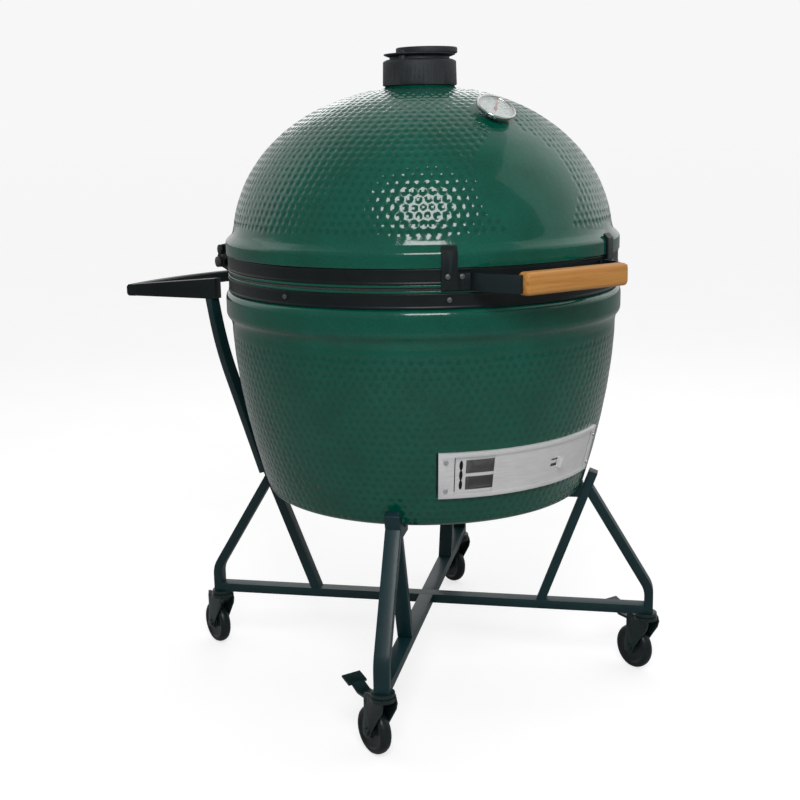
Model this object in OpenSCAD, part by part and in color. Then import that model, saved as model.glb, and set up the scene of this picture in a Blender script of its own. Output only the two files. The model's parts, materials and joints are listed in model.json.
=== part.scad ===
// Kamado ceramic grill on a wheeled stand. Millimetres, +Z up, floor at z = 0, front at -Y.

/* [Ceramic] */
// Radius of the smooth flange round the dome's rim
dome_flange_r = 431; // [400:1:450]
// Radius of the smooth flange round the base's rim
base_flange_r = 435; // [400:1:455]
// Height of the seam between the dome and the base
seam_z = 929; // [880:1:980]
// Outer radius of the dome above its flange, at its widest
dome_a = 416; // [380:1:430]
// Rise of the dome from its widest level to its closed top
dome_b = 338; // [300:1:360]
// Roundness of the dome: 2 is an ellipse, more is squarer
dome_n = 2.1; // [2:0.05:2.4]
// Radius of the chimney neck
neck_r = 74; // [60:1:90]
// Radius of the chimney's hole
chimney_r = 55; // [40:1:62]
// Wall of the dome
dome_wall = 20; // [18:1:30]
// Wall of the base
base_wall = 22; // [18:1:32]
// Height of the base's underside
base_bottom_z = 431.5; // [400:0.5:460]

/* [Draft door] */
// Half of the angle the draft door's frame spans
frame_half_deg = 31; // [20:0.5:36]
// Height of the middle of the draft door
door_mid_z = 552; // [520:1:580]
// Height of the draft door's frame
frame_h = 98; // [80:1:110]

/* [Handle] */
// Length of the wooden bar
handle_len = 254; // [200:1:320]
// Depth of the wooden bar, front to back
handle_d = 32; // [24:1:40]
// Height of the wooden bar
handle_h = 44; // [34:1:50]
// Distance of the bar's front face from the egg's axis
handle_front = 521; // [500:1:560]
// Angle of each handle strap from the front
strap_deg = 28; // [20:0.5:40]

/* [Hinge] */
// Distance of the hinge pin behind the egg's axis
pivot_y = 515; // [480:1:560]
// Height of the hinge pin
pivot_z = 918; // [890:1:925]
// Distance of each lower hinge arm from the middle
hinge_half = 235; // [180:1:260]

/* [Stand] */
// Distance of each leg's outer face from the middle
arm_r = 520; // [480:1:560]
// Height of the bottom tubes' underside
arm_z = 143.5; // [130:0.5:160]
// Width of the rectangular tube
tube_w = 32; // [25:1:40]
// Thickness of the rectangular tube
tube_t = 20; // [16:1:25]
// Wall of the rectangular tube
tube_wall = 2; // [1.5:0.25:3]
// Radius of the push bar behind the grill
push_r = 770; // [700:5:820]

/* [Casters] */
// Radius of each wheel
wheel_r = 50; // [38:1:60]
// Width of each wheel
wheel_w = 26; // [20:1:32]
// Distance the wheel trails its swivel
trail = 35; // [25:1:45]

/* [Hidden] */
$fn = 96;

black = [0.09, 0.1, 0.1];
green = [0.02, 0.25, 0.17];
frame_green = [0.05, 0.12, 0.11];
steel = [0.75, 0.75, 0.74];
clay = [0.72, 0.62, 0.5];
iron = [0.16, 0.17, 0.18];

a_fr = -45;
a_fl = -135;
a_bl = 135;
a_br = 45;

push_half = 13;
push_front = -handle_front;
// The row's origin is the middle of the whole grill's footprint.
shift_y = -(push_front + push_r + push_half) / 2;

// ---- path helpers: a polyline widened into an outline with mitred corners
function unit(v) = v / norm(v);
function seg_n(p, i) = let(d = unit(p[i + 1] - p[i])) [-d[1], d[0]];
function mid_n(p, i) = let(a = seg_n(p, i - 1), b = seg_n(p, i)) (a + b) / (1 + a * b);
function side_n(p, i) = i == 0 ? seg_n(p, 0) : i == len(p) - 1 ? seg_n(p, i - 1) : mid_n(p, i);
function side(p, h) = [for (i = [0 : len(p) - 1]) p[i] + h * side_n(p, i)];
function flip(p) = [for (i = [len(p) - 1 : -1 : 0]) p[i]];
function outline(p, h) = concat(side(p, h), flip(side(p, -h)));
function first_out(p, e) = p[0] - e * unit(p[1] - p[0]);
function last_out(p, e) = let(k = len(p) - 1) p[k] + e * unit(p[k] - p[k - 1]);
function inner_pts(p) = [for (i = [1 : 1 : len(p) - 2]) p[i]];
function stretch(p, e0, e1) = concat([first_out(p, e0)], inner_pts(p), [last_out(p, e1)]);

module placed() {
  translate([0, shift_y, 0]) children();
}

module upright(w) {
  rotate([90, 0, 0]) linear_extrude(w, center = true) children();
}

// A rectangular tube along an upright path, open at its first end and open or capped at its last.
module tube(p, h, w, e1) {
  difference() {
    upright(w) polygon(outline(p, h));
    upright(w - 2 * tube_wall) polygon(outline(stretch(p, 1, e1), h - tube_wall));
  }
}

module ring(r0, r1, z0, z1) {
  rotate_extrude() polygon([[r0, z0], [r1, z0], [r1, z1], [r0, z1]]);
}

// A pie of rotate_extrude between two azimuths measured from the front, positive to the right.
module sweep(az0, az1) {
  rotate([0, 0, -90 + az0]) rotate_extrude(angle = az1 - az0) children();
}

module at_az(az, r, z) {
  rotate([0, 0, az]) translate([0, -r, z]) children();
}

// ---- profiles
function dome_pt(t, a, b) = [a * pow(cos(t), 2 / dome_n), dome_z0 + b * pow(sin(t), 2 / dome_n)];
function dome_t_at_z(z, b) = asin(pow((z - dome_z0) / b, dome_n / 2));
function dome_t_at_r(r, a) = acos(pow(r / a, dome_n / 2));
function spread(t0, t1, k) = [for (i = [0 : k]) t0 + (t1 - t0) * i / k];
dome_z0 = seam_z + 51;
dome_low_z = seam_z + 92;
neck_top_z = seam_z + 412;
gasket = 3;
dome_rim_z = seam_z + gasket;
base_rim_z = seam_z - gasket;
rim_in_r = 397;
lip_r = 428;
seat_r = 425;
band_t = 3;
dome_k = 40;

function dome_outer() = let(t0 = dome_t_at_z(dome_low_z, dome_b), t1 = dome_t_at_r(neck_r, dome_a))
  [for (t = spread(t0, t1, dome_k)) dome_pt(t, dome_a, dome_b)];
function dome_inner() = let(a = dome_a - dome_wall, b = dome_b - dome_wall,
  t0 = dome_t_at_z(dome_low_z - 14, b), t1 = dome_t_at_r(chimney_r, a))
  [for (t = spread(t1, t0, dome_k)) dome_pt(t, a, b)];

dome_profile = concat(
  [[rim_in_r, dome_rim_z], [lip_r - 1.5, dome_rim_z], [lip_r, dome_rim_z + 1.5],
   [lip_r, dome_rim_z + 4.5], [seat_r, dome_rim_z + 5], [seat_r, seam_z + 39],
   [dome_flange_r - 1.5, seam_z + 39.5], [dome_flange_r, seam_z + 41],
   [dome_flange_r, seam_z + 64], [dome_flange_r - 1.2, seam_z + 68],
   [dome_flange_r - 4, seam_z + 71.5], [dome_flange_r - 13, seam_z + 80]],
  dome_outer(),
  [[neck_r, neck_top_z], [chimney_r, neck_top_z]],
  dome_inner(),
  [[rim_in_r, seam_z + 60]]);

base_bow_top = seam_z - 117;
base_bow_r = base_flange_r - 11.5;
base_bow_k = 0.00415;
base_bow_n = 1.64;
corner_r = 316;
corner_a = 42;
corner_b = 20.5;
corner_z = base_bottom_z + corner_b;
function base_r(z) = base_bow_r - base_bow_k * pow(base_bow_top - z, base_bow_n);
function corner(a, b) = [for (t = spread(0, 90, 10)) [corner_r + a * cos(t), corner_z - b * sin(t)]];
base_floor_z = base_bottom_z + 26;

base_profile = concat(
  [[rim_in_r, base_rim_z], [lip_r - 1.5, base_rim_z], [lip_r, base_rim_z - 1.5],
   [lip_r, base_rim_z - 4.5], [seat_r, base_rim_z - 5], [seat_r, seam_z - 39],
   [base_flange_r - 8, seam_z - 40], [base_flange_r - 3, seam_z - 44],
   [base_flange_r - 0.6, seam_z - 50], [base_flange_r, seam_z - 57],
   [base_flange_r, seam_z - 86], [base_flange_r - 1.2, seam_z - 91],
   [base_flange_r - 5, seam_z - 96], [base_flange_r - 9.5, seam_z - 102]],
  [for (z = spread(base_bow_top, corner_z, 26)) [base_r(z), z]],
  [for (i = [1 : 10]) corner(corner_a, corner_b)[i]],
  [[0, base_bottom_z], [0, base_floor_z], [corner_r, base_floor_z]],
  [for (z = spread(base_floor_z + 26, base_bow_top, 20)) [base_r(z) - base_wall, z]],
  [[rim_in_r, base_bow_top + 16]]);

// ---- draft door: everything lies on one cone that hugs the base
cone_lo_z = door_mid_z - frame_h / 2;
cone_hi_z = door_mid_z + frame_h / 2;
cone_a = atan((base_r(cone_hi_z) - base_r(cone_lo_z)) / frame_h);
cone_r = base_r(door_mid_z) - 1.6;
function on_cone(n, t) = [cone_r + t * sin(cone_a) + n * cos(cone_a),
  door_mid_z + t * cos(cone_a) - n * sin(cone_a)];
function cone_box(n0, n1, t0, t1) = [on_cone(n0, t0), on_cone(n1, t0), on_cone(n1, t1),
  on_cone(n0, t1)];
half_t = frame_h / 2 / cos(cone_a);
door_open_az = frame_half_deg - 3.2;
door_span = 42;
port_az0 = -21;
port_az1 = 13;
port_half_t = 31;
window_w = 8.8;
window_gap = 4;

module on_cone_at(az, t, n) {
  rotate([0, 0, az]) translate([0, -on_cone(n, t)[0], on_cone(n, t)[1]])
    rotate([90 + cone_a, 0, 0]) children();
}

module base_shell() {
  placed() color(green) difference() {
    rotate_extrude() polygon(base_profile);
    sweep(-frame_half_deg - 0.4, frame_half_deg + 0.4)
      polygon(cone_box(-0.06, 30, -half_t - 0.4, half_t + 0.4));
    sweep(port_az0, port_az1) polygon(cone_box(-40, 10, -port_half_t, port_half_t));
    draft_bores(2.6);
  }
}

module dome_shell() {
  placed() color(green) difference() {
    rotate_extrude() polygon(dome_profile);
    gauge_place() translate([0, 0, -90]) cylinder(r = probe_sleeve_r + 0.5, h = 120);
  }
}

box_top_z = seam_z - 229;
ring_top_z = seam_z - 45;
ring_out_r = 386;
ring_wall = 26;
box_wall = 24;
grate_z = base_floor_z + 24;
module fire_box() {
  placed() color(clay) difference() {
    rotate_extrude() polygon([[118, base_floor_z], [306, base_floor_z], [344, box_top_z - 26],
      [376, box_top_z - 18], [376, box_top_z], [340, box_top_z],
      [320, box_top_z - 24], [284, grate_z], [118, grate_z]]);
    sweep(port_az0 - 2, port_az1 + 2) polygon([[250, grate_z + 12], [400, grate_z + 12],
      [400, grate_z + 95], [250, grate_z + 95]]);
    for (az = [60 : 40 : 300]) at_az(az, 240, grate_z + 60) rotate([90, 0, 0])
      cylinder(r = 11, h = 160);
  }
}

module fire_ring() {
  placed() color(clay) difference() {
    rotate_extrude() polygon([[ring_out_r - ring_wall, box_top_z], [ring_out_r - 12, box_top_z],
      [ring_out_r, box_top_z + 14], [ring_out_r, ring_top_z],
      [ring_out_r - ring_wall, ring_top_z]]);
    for (az = [20 : 40 : 340]) at_az(az, ring_out_r - ring_wall - 20, ring_top_z + 1)
      rotate([90, 0, 0]) cylinder(r = 13, h = 70);
  }
}

grate_r = 150;
module fire_grate() {
  placed() color(iron) translate([0, 0, grate_z]) difference() {
    cylinder(r = grate_r, h = 12);
    for (x = [-110 : 22 : 110]) translate([x - 5, -slot_half(x), -1])
      cube([10, slot_half(x) - 8, 14]);
    for (x = [-110 : 22 : 110]) translate([x - 5, 8, -1]) cube([10, slot_half(x) - 8, 14]);
  }
}
function slot_half(x) = sqrt(pow(grate_r - 14, 2) - x * x);

grid_r = 366;
grid_wire = 5;
grid_z = ring_top_z + grid_wire + 0.4;
module cooking_grid() {
  placed() color(steel) translate([0, 0, grid_z]) {
    rotate_extrude() translate([grid_r, 0]) circle(r = grid_wire, $fn = 32);
    for (x = [-14 * 24 : 24 : 14 * 24]) let(h = sqrt(grid_r * grid_r - x * x))
      translate([x, -h, 0]) rotate([-90, 0, 0]) cylinder(r = 3, h = 2 * h, $fn = 32);
    for (y = [-130, 130]) let(h = sqrt(grid_r * grid_r - y * y) - 8)
      translate([-h, y, -4.5]) rotate([0, 90, 0]) cylinder(r = 3, h = 2 * h, $fn = 32);
  }
}

gasket_half = gasket - 0.15;
module base_gasket() {
  placed() color([0.16, 0.15, 0.13]) ring(rim_in_r + 2, lip_r - 3, base_rim_z, base_rim_z + gasket_half);
}
module dome_gasket() {
  placed() color([0.16, 0.15, 0.13]) ring(rim_in_r + 2, lip_r - 3, dome_rim_z - gasket_half, dome_rim_z);
}

band_lo0 = seam_z - 38;
band_lo1 = seam_z - 8.5;
band_hi0 = seam_z + 8.5;
band_hi1 = seam_z + 38.5;
band_r = seat_r + band_t;
module base_band() {
  placed() color(black) difference() {
    ring(seat_r, band_r, band_lo0, band_lo1);
    low_holes();
  }
}
module dome_band() {
  placed() color(black) difference() {
    ring(seat_r, band_r, band_hi0, band_hi1);
    high_holes();
  }
}

// ---- fasteners
module bolt(r, len, head_r, head_h) {
  rotate([90, 0, 0]) {
    rotate([0, 0, 30]) cylinder(r = head_r, h = head_h, $fn = 6);
    translate([0, 0, -len]) cylinder(r = r, h = len + 0.5, $fn = 32);
  }
}

strap_in = dome_flange_r + 0.4;
strap_t = 4.5;
lo_strap_in = band_r + 0.06;
lo_strap_t = 4;
bolt_lo_z = seam_z - 21;
bolt_hi_z = seam_z + 24;
hinge_az = 180 - asin(hinge_half / band_r);
bolt_r = 3;
strap_bolts = [for (s = [-1, 1]) for (d = [-3.1, 0.5]) s * (strap_deg + d)];
hinge_bolts = [for (s = [-1, 1]) for (d = [-2.6, 2.6]) s * hinge_az + d];
band_bolts = [for (s = [-1, 1]) for (az = [strap_deg, 74]) s * az];

module holes(list, z) {
  for (az = list) at_az(az, seat_r - 10, z) rotate([90, 0, 0]) cylinder(r = bolt_r + 0.1, h = 30);
}
module low_holes() {
  holes(concat(band_bolts, hinge_bolts), bolt_lo_z);
}
module high_holes() {
  holes(concat(strap_bolts, hinge_bolts), bolt_hi_z);
}

module base_bolts() {
  placed() color(iron) {
    for (az = band_bolts) at_az(az, band_r, bolt_lo_z) bolt(bolt_r, band_t, 5.5, 4);
    for (az = hinge_bolts) at_az(az, lo_strap_in + lo_strap_t, bolt_lo_z)
      bolt(bolt_r, lo_strap_t + band_t, 5.5, 4);
  }
}
module lid_bolts() {
  placed() color(iron) {
    for (az = concat(strap_bolts, hinge_bolts)) at_az(az, strap_in + strap_t, bolt_hi_z)
      bolt(bolt_r, strap_in + strap_t - seat_r, 5.5, 4);
    for (s = [-1, 1]) bar_screw_at(s) rotate([0, 0, 180]) bolt(2.5, 20, 5, 2.5);
  }
}
module bar_screw_at(s) {
  translate([s * (handle_len / 2 - 11), -handle_front + handle_d, handle_z]) children();
}

// ---- hinge
pin_r = 8;
arm_plate = 6;
lid_half = hinge_half + 9.5;
base_arm = [[340, seam_z - 37], [340, seam_z - 10], [450, seam_z - 8], [pivot_y - 12, pivot_z + 12],
  [pivot_y + 4, pivot_z + 16], [pivot_y + 17, pivot_z + 2], [pivot_y + 12, pivot_z - 13],
  [pivot_y - 30, pivot_z - 22], [440, seam_z - 37]];
lid_arm = [[340, seam_z + 11], [340, seam_z + 38], [430, seam_z + 40], [470, seam_z + 37],
  [pivot_y - 12, seam_z + 32], [pivot_y + 2, seam_z + 16], [pivot_y + 16, pivot_z + 4],
  [pivot_y + 10, pivot_z - 14], [pivot_y - 12, pivot_z - 12], [pivot_y - 24, pivot_z + 6],
  [440, seam_z + 11]];
rod_r = 11;
rod_y = pivot_y - 14;
rod_z = pivot_z + 31;

module plate_x(x, t) {
  translate([x - t / 2, 0, 0]) rotate([90, 0, 90]) linear_extrude(t) children();
}
module along_x(y, z, r, x0, x1) {
  translate([x0, y, z]) rotate([0, 90, 0]) cylinder(r = r, h = x1 - x0);
}

module hinge_base_bracket() {
  placed() color(black) difference() {
    union() {
      for (s = [-1, 1]) {
        difference() {
          plate_x(s * hinge_half, arm_plate) polygon(base_arm);
          translate([0, 0, 800]) cylinder(r = lo_strap_in + 0.5, h = 300);
        }
        sweep(s * hinge_az - 4.5, s * hinge_az + 4.5)
          polygon([[lo_strap_in, band_lo0 + 1], [lo_strap_in + lo_strap_t, band_lo0 + 1],
            [lo_strap_in + lo_strap_t, band_lo1 - 1], [lo_strap_in, band_lo1 - 1]]);
      }
      plate_x(0, 2 * hinge_half) polygon([[pivot_y - 60, pivot_z - 20],
        [pivot_y - 14, pivot_z - 17], [pivot_y - 14.6, pivot_z - 14], [pivot_y - 60.6, pivot_z - 17]]);
    }
    along_x(pivot_y, pivot_z, pin_r, -300, 300);
    low_holes();
  }
}

module hinge_lid_bracket() {
  placed() color(black) difference() {
    union() {
      for (s = [-1, 1]) {
        difference() {
          plate_x(s * lid_half, arm_plate) polygon(lid_arm);
          translate([0, 0, 900]) cylinder(r = strap_in + 0.5, h = 200);
        }
        sweep(s * hinge_az - 4.5, s * hinge_az + 4.5)
          polygon([[strap_in, band_hi0 + 1], [strap_in + strap_t, band_hi0 + 1],
            [strap_in + strap_t, seam_z + 70], [strap_in, seam_z + 70]]);
      }
    }
    along_x(pivot_y, pivot_z, pin_r + 0.06, -300, 300);
    along_x(rod_y, rod_z, rod_r - 2.94, -300, 300);
    high_holes();
  }
}

module hinge_pin() {
  placed() color(iron) {
    along_x(pivot_y, pivot_z, pin_r, -lid_half - 9, lid_half + 9);
    for (s = [-1, 1]) along_x(pivot_y, pivot_z, 13, s * (lid_half + 7) - 3, s * (lid_half + 7) + 3);
  }
}

module hinge_rod() {
  placed() color(black) {
    along_x(rod_y, rod_z, rod_r, -lid_half + arm_plate / 2, lid_half - arm_plate / 2);
    along_x(rod_y, rod_z, rod_r - 3, -lid_half - 9, lid_half + 9);
    for (s = [-1, 1]) along_x(rod_y, rod_z, 12, s * (lid_half + 6.5) - 3, s * (lid_half + 6.5) + 3);
  }
}

coil_wire = 5;
coil_n = 38;
module hinge_springs() {
  placed() color(iron) for (s = [-1, 1]) translate([s * 117, pivot_y, pivot_z]) rotate([0, 90, 0])
    rotate_extrude() polygon(concat([[pin_r + 0.6, -coil_n * coil_wire / 2]],
      [for (i = [0 : 2 * coil_n]) [i % 2 == 0 ? pin_r + 3.5 : pin_r + 5.5,
        (i / 2 - coil_n / 2) * coil_wire]],
      [[pin_r + 0.6, coil_n * coil_wire / 2]]));
}

// ---- front handle
handle_z = seam_z + 14.5;
bar_mid_y = -handle_front + handle_d / 2;
arm_h = 34;
foot_deg = strap_deg - 5.4;
foot_xy = [sin(foot_deg), -cos(foot_deg)] * (strap_in + strap_t / 2);
arm_plan = [foot_xy, [foot_xy[0] - 1, foot_xy[1] - 40], [handle_len / 2 + 6, bar_mid_y],
  [handle_len / 2 - 20, bar_mid_y]];

module handle_arm(s) {
  placed() color(black) mirror([s < 0 ? 1 : 0, 0, 0]) difference() {
    union() {
      translate([0, 0, handle_z - arm_h / 2]) linear_extrude(arm_h)
        polygon(outline(arm_plan, strap_t / 2));
      sweep(strap_deg - 2.05, strap_deg + 2.05) polygon([[strap_in, seam_z - 2],
        [strap_in + strap_t, seam_z - 2], [strap_in + strap_t, seam_z + 72],
        [strap_in + strap_t - 9, seam_z + 82], [strap_in + strap_t - 12, seam_z + 79.5],
        [strap_in, seam_z + 70]]);
      sweep(foot_deg - 0.7, strap_deg - 1) translate([strap_in + strap_t / 2, handle_z])
        square([strap_t - 0.5, arm_h - 2], center = true);
    }
    high_holes();
    bar_screw_at(1) rotate([90, 0, 0]) cylinder(r = 2.6, h = handle_d);
  }
}
module handle_arm_left() {
  handle_arm(-1);
}
module handle_arm_right() {
  handle_arm(1);
}

bar_chamfer = 6;
function chamfered(w, h, c) = [[-w, -h + c], [-w + c, -h], [w - c, -h], [w, -h + c], [w, h - c],
  [w - c, h], [-w + c, h], [-w, h - c]];
module wood_handle() {
  placed() color([0.72, 0.5, 0.28]) difference() {
    plate_x(0, handle_len) translate([bar_mid_y, handle_z])
      polygon(chamfered(handle_d / 2, handle_h / 2, bar_chamfer));
    for (s = [-1, 1]) {
      translate([s * (handle_len / 2 - 8), bar_mid_y, handle_z])
        cube([28, strap_t + 0.2, arm_h + 0.2], center = true);
      bar_screw_at(s) translate([0, 2, 0]) rotate([90, 0, 0]) cylinder(r = 2.6, h = 22.5);
    }
  }
}

// ---- thermometer
gauge_tilt = 35;
gauge_y = -267;
gauge_z = seam_z + 339;
gauge_r = 42;
gauge_d = 9.5;
probe_sleeve_r = 8;
neck_h = 8;
sleeve_h = 33;
module gauge_place() {
  translate([0, gauge_y, gauge_z]) rotate([gauge_tilt, 0, 0]) children();
}
module gauge_case() {
  placed() color(steel) gauge_place() {
    rotate_extrude() polygon([[0, -gauge_d], [gauge_r - 4, -gauge_d], [gauge_r - 1, -gauge_d + 3],
      [gauge_r - 1, -4], [gauge_r, -3], [gauge_r, -0.5], [gauge_r - 1.5, 1], [gauge_r - 4, 1],
      [gauge_r - 5, -0.5], [gauge_r - 5, -7.1], [0, -7.1]]);
    translate([0, 0, -gauge_d - neck_h]) cylinder(r = 13, h = neck_h + 0.5);
  }
}
module gauge_dial() {
  placed() color([0.93, 0.93, 0.9]) gauge_place() difference() {
    translate([0, 0, -7]) cylinder(r = gauge_r - 5.2, h = 1);
    translate([0, 0, -9]) cylinder(r = 1.26, h = 6);
  }
}
needle_len = 31;
module gauge_needle() {
  placed() color([0.75, 0.1, 0.08]) gauge_place() {
    translate([0, 0, -6.9]) cylinder(r = 1.2, h = 3.4);
    rotate([0, 0, -38]) translate([0, 0, -4.9]) linear_extrude(1)
      polygon([[-2.2, -9], [2.2, -9], [0.7, needle_len], [-0.7, needle_len]]);
    translate([0, 0, -5.3]) cylinder(r = 4, h = 1.9);
  }
}
module gauge_lens() {
  placed() color([0.9, 0.95, 0.95, 0.35]) gauge_place() translate([0, 0, -2.6])
    cylinder(r = gauge_r - 5.1, h = 1.6);
}
module gauge_probe() {
  placed() color(steel) gauge_place() {
    translate([0, 0, -gauge_d - neck_h - sleeve_h]) {
      cylinder(r = probe_sleeve_r, h = sleeve_h);
      cylinder(r = 14, h = 7, $fn = 6);
      translate([0, 0, -90]) cylinder(r = 3, h = 91);
    }
  }
}

// ---- chimney cap
cap_r = 80;
cap_z = seam_z + 389;
cap_top = cap_z + 54;
collar_r = 65;
collar_h = 6;
lid_gap = 0.35;
pivot_az = -66;
cap_pivot_r = 67;
module vent_body() {
  placed() color(iron) difference() {
    union() {
      rotate_extrude() polygon([[neck_r + 0.6, cap_z], [cap_r - 1, cap_z], [cap_r, cap_z + 2],
        [cap_r - 1.2, cap_top - 5], [cap_r - 3, cap_top - 2.5], [cap_r - 9, cap_top],
        [collar_r, cap_top],
        [collar_r - 0.6, cap_top + collar_h], [chimney_r - 3, cap_top + collar_h],
        [chimney_r - 3, neck_top_z + 2], [neck_r + 0.6, neck_top_z + 2]]);
      at_az(pivot_az, cap_pivot_r, cap_top - 24) cylinder(r = 8, h = 24 + collar_h);
    }
    at_az(pivot_az, cap_pivot_r, cap_top - 22) cylinder(r = 3, h = 40);
  }
}
lid_z = cap_top + collar_h + lid_gap;
lid_t = 6;
module vent_lid() {
  placed() color(iron) difference() {
    union() {
      translate([0, 0, lid_z]) rotate_extrude() polygon([[0, 0], [cap_r - 12, 0],
        [cap_r - 3.5, 3.2], [cap_r - 3, 4.2], [cap_r - 3, 5.4], [cap_r - 4, lid_t], [0, lid_t]]);
      dial_place() translate([0, 0, lid_z]) cylinder(r = 6, h = lid_t + 14);
    }
    for (i = [0 : 5]) dial_place() rotate([0, 0, i * 60]) translate([28, 0, lid_z - 1])
      cylinder(r = 9, h = lid_t + 2);
    at_az(pivot_az, cap_pivot_r, lid_z - 1) cylinder(r = 3.06, h = lid_t + 2);
  }
}
module dial_place() {
  rotate([0, 0, 56]) translate([0, -15.5, 0]) children();
}
dial_r = 66;
dial_z = lid_z + lid_t + 0.35;
module vent_dial() {
  placed() color(iron) dial_place() difference() {
    translate([0, 0, dial_z]) rotate_extrude() polygon([[6.06, 0], [dial_r - 1, 0], [dial_r, 1],
      [dial_r, 10.5], [dial_r - 1.5, 12], [20, 14.5], [6.06, 14.5]]);
    for (i = [0 : 5]) rotate([0, 0, i * 60 + 30]) translate([28, 0, dial_z - 1])
      cylinder(r = 9, h = 20);
  }
}
module vent_pivot() {
  placed() color(iron) at_az(pivot_az, cap_pivot_r, 0) {
    translate([0, 0, cap_top - 22]) cylinder(r = 3, h = lid_z + lid_t + 22.3 - cap_top);
    translate([0, 0, lid_z + lid_t + 0.3]) cylinder(r = 5.5, h = 3.5, $fn = 32);
  }
}

// ---- draft door
screen_n = 1.6;
door_n = 3.9;
panel_t = 1.2;
panel_half = half_t - 5;
lip_n = 6.2;
frame_n = lip_n + 1.2;
module draft_frame() {
  placed() color(steel) difference() {
    sweep(-frame_half_deg, frame_half_deg) polygon(cone_box(0, frame_n, -half_t, half_t));
    sweep(-frame_half_deg + 4.6, frame_half_deg - 2.8) polygon(track_pts());
    draft_bores(2.6);
  }
}
// The cavity between the end bars: the opening, and a track behind the lips above and below.
function track_pts() = [on_cone(-2, 12 - half_t), on_cone(1, 12 - half_t), on_cone(1, 3.5 - half_t),
  on_cone(lip_n, 3.5 - half_t), on_cone(lip_n, 9 - half_t), on_cone(frame_n + 2, 9 - half_t),
  on_cone(frame_n + 2, half_t - 9), on_cone(lip_n, half_t - 9), on_cone(lip_n, half_t - 3.5),
  on_cone(1, half_t - 3.5), on_cone(1, half_t - 12), on_cone(-2, half_t - 12)];

screw_az = [-frame_half_deg + 2.1, frame_half_deg - 1.35];
module draft_bores(r) {
  for (az = screw_az) for (t = [-32, 32]) on_cone_at(az, t, -18) cylinder(r = r, h = 40, $fn = 32);
}
module draft_screws() {
  placed() color(steel) for (az = screw_az) for (t = [-32, 32]) on_cone_at(az, t, frame_n) {
    cylinder(r = 5, h = 2.4, $fn = 32);
    translate([0, 0, -18]) cylinder(r = 2.5, h = 18.5, $fn = 32);
  }
}

screen_az0 = -frame_half_deg + 5;
window_t = 15;
module draft_screen() {
  placed() color(steel) {
    difference() {
      sweep(screen_az0, screen_az0 + door_span)
        polygon(cone_box(screen_n, screen_n + panel_t, -panel_half, panel_half));
      for (i = [0 : 2]) let(az = screen_az0 + 3.2 + i * (window_w + window_gap)) for (s = [-1, 1])
        sweep(az, az + window_w) polygon(cone_box(screen_n - 2, screen_n + 4,
          s * 18.5 - window_t, s * 18.5 + window_t));
    }
    for (i = [0 : 2]) let(az = screen_az0 + 3.2 + i * (window_w + window_gap)) for (s = [-1, 1])
      for (k = [-1 : 1]) sweep(az - 0.3, az + window_w + 0.3)
        polygon(cone_box(screen_n + 0.2, screen_n + 1, s * 18.5 + k * 8 - 0.6, s * 18.5 + k * 8 + 0.6));
    for (i = [0 : 2]) let(az = screen_az0 + 3.2 + i * (window_w + window_gap)) for (k = [1 : 5])
      sweep(az + k * window_w / 6 - 0.09, az + k * window_w / 6 + 0.09)
        polygon(cone_box(screen_n + 0.2, screen_n + 1, -34, 34));
  }
}

door_az0 = door_open_az - door_span;
pull_az = door_az0 + door_span / 2 + 1.5;
module draft_door() {
  placed() color(steel) {
    difference() {
      sweep(door_az0, door_az0 + door_span)
        polygon(cone_box(door_n, door_n + panel_t, -panel_half, panel_half));
      sweep(pull_az - 1.4, pull_az + 1.4) polygon(cone_box(door_n - 2, door_n + 4, -12, 12));
    }
    sweep(pull_az + 1.3, pull_az + 1.5) polygon(cone_box(door_n + 0.2, door_n + 16, -12, 12));
    sweep(pull_az + 1.3, pull_az + 2.4) polygon(cone_box(door_n + 14.8, door_n + 16, -14, 12));
  }
}

// ---- stand
h_t = tube_t / 2;
leg_x = arm_r - h_t;
leg_bend = 31;
bend_r = 60;
bend_z = arm_z + 59.5 - bend_r * tan(leg_bend / 2);
bend_c = [leg_x - bend_r, bend_z];
leg_run = 275;
leg_end = bend_c + bend_r * [cos(leg_bend), sin(leg_bend)] + leg_run * [-sin(leg_bend), cos(leg_bend)];
leg_path = concat([[leg_x, arm_z]],
  [for (t = spread(0, leg_bend, 8)) bend_c + bend_r * [cos(t), sin(t)]], [leg_end]);
strut_r0 = 267;
strut_lean = 20.6;
strut_foot = [strut_r0, arm_z + tube_t];
strut_len = 329;
strut_dir = [sin(strut_lean), cos(strut_lean)];
strut_path = [strut_foot - 20 * strut_dir, strut_foot + strut_len * strut_dir];
strut_out = h_t + 0.01;
strut_side = [strut_dir[1], -strut_dir[0]] * strut_out;

// Each caster's top plate is let a little way into the tubes above it.
stem_r = 505;
seat_in = 0.6;
module seat(s) {
  translate([s * stem_r, 0, arm_z - 1]) cylinder(r = 24.3, h = 1 + seat_in + 0.02);
}
module long_tube() {
  placed() color(frame_green) rotate([0, 0, a_fr]) difference() {
    bar(-arm_r + tube_t, arm_r - tube_t, tube_w, tube_t);
    bar(-arm_r, arm_r, tube_w - 2 * tube_wall, tube_t - 2 * tube_wall);
    seat(-1);
    seat(1);
  }
}
module bar(x0, x1, w, t) {
  translate([x0, -w / 2, arm_z + (tube_t - t) / 2]) cube([x1 - x0, w, t]);
}
module short_tube(a) {
  placed() color(frame_green) rotate([0, 0, a]) difference() {
    bar(tube_w / 2, arm_r - tube_t, tube_w, tube_t);
    bar(0, arm_r, tube_w - 2 * tube_wall, tube_t - 2 * tube_wall);
    seat(1);
  }
}
module short_tube_front() {
  short_tube(a_fl);
}
module short_tube_back() {
  short_tube(a_br);
}

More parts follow.
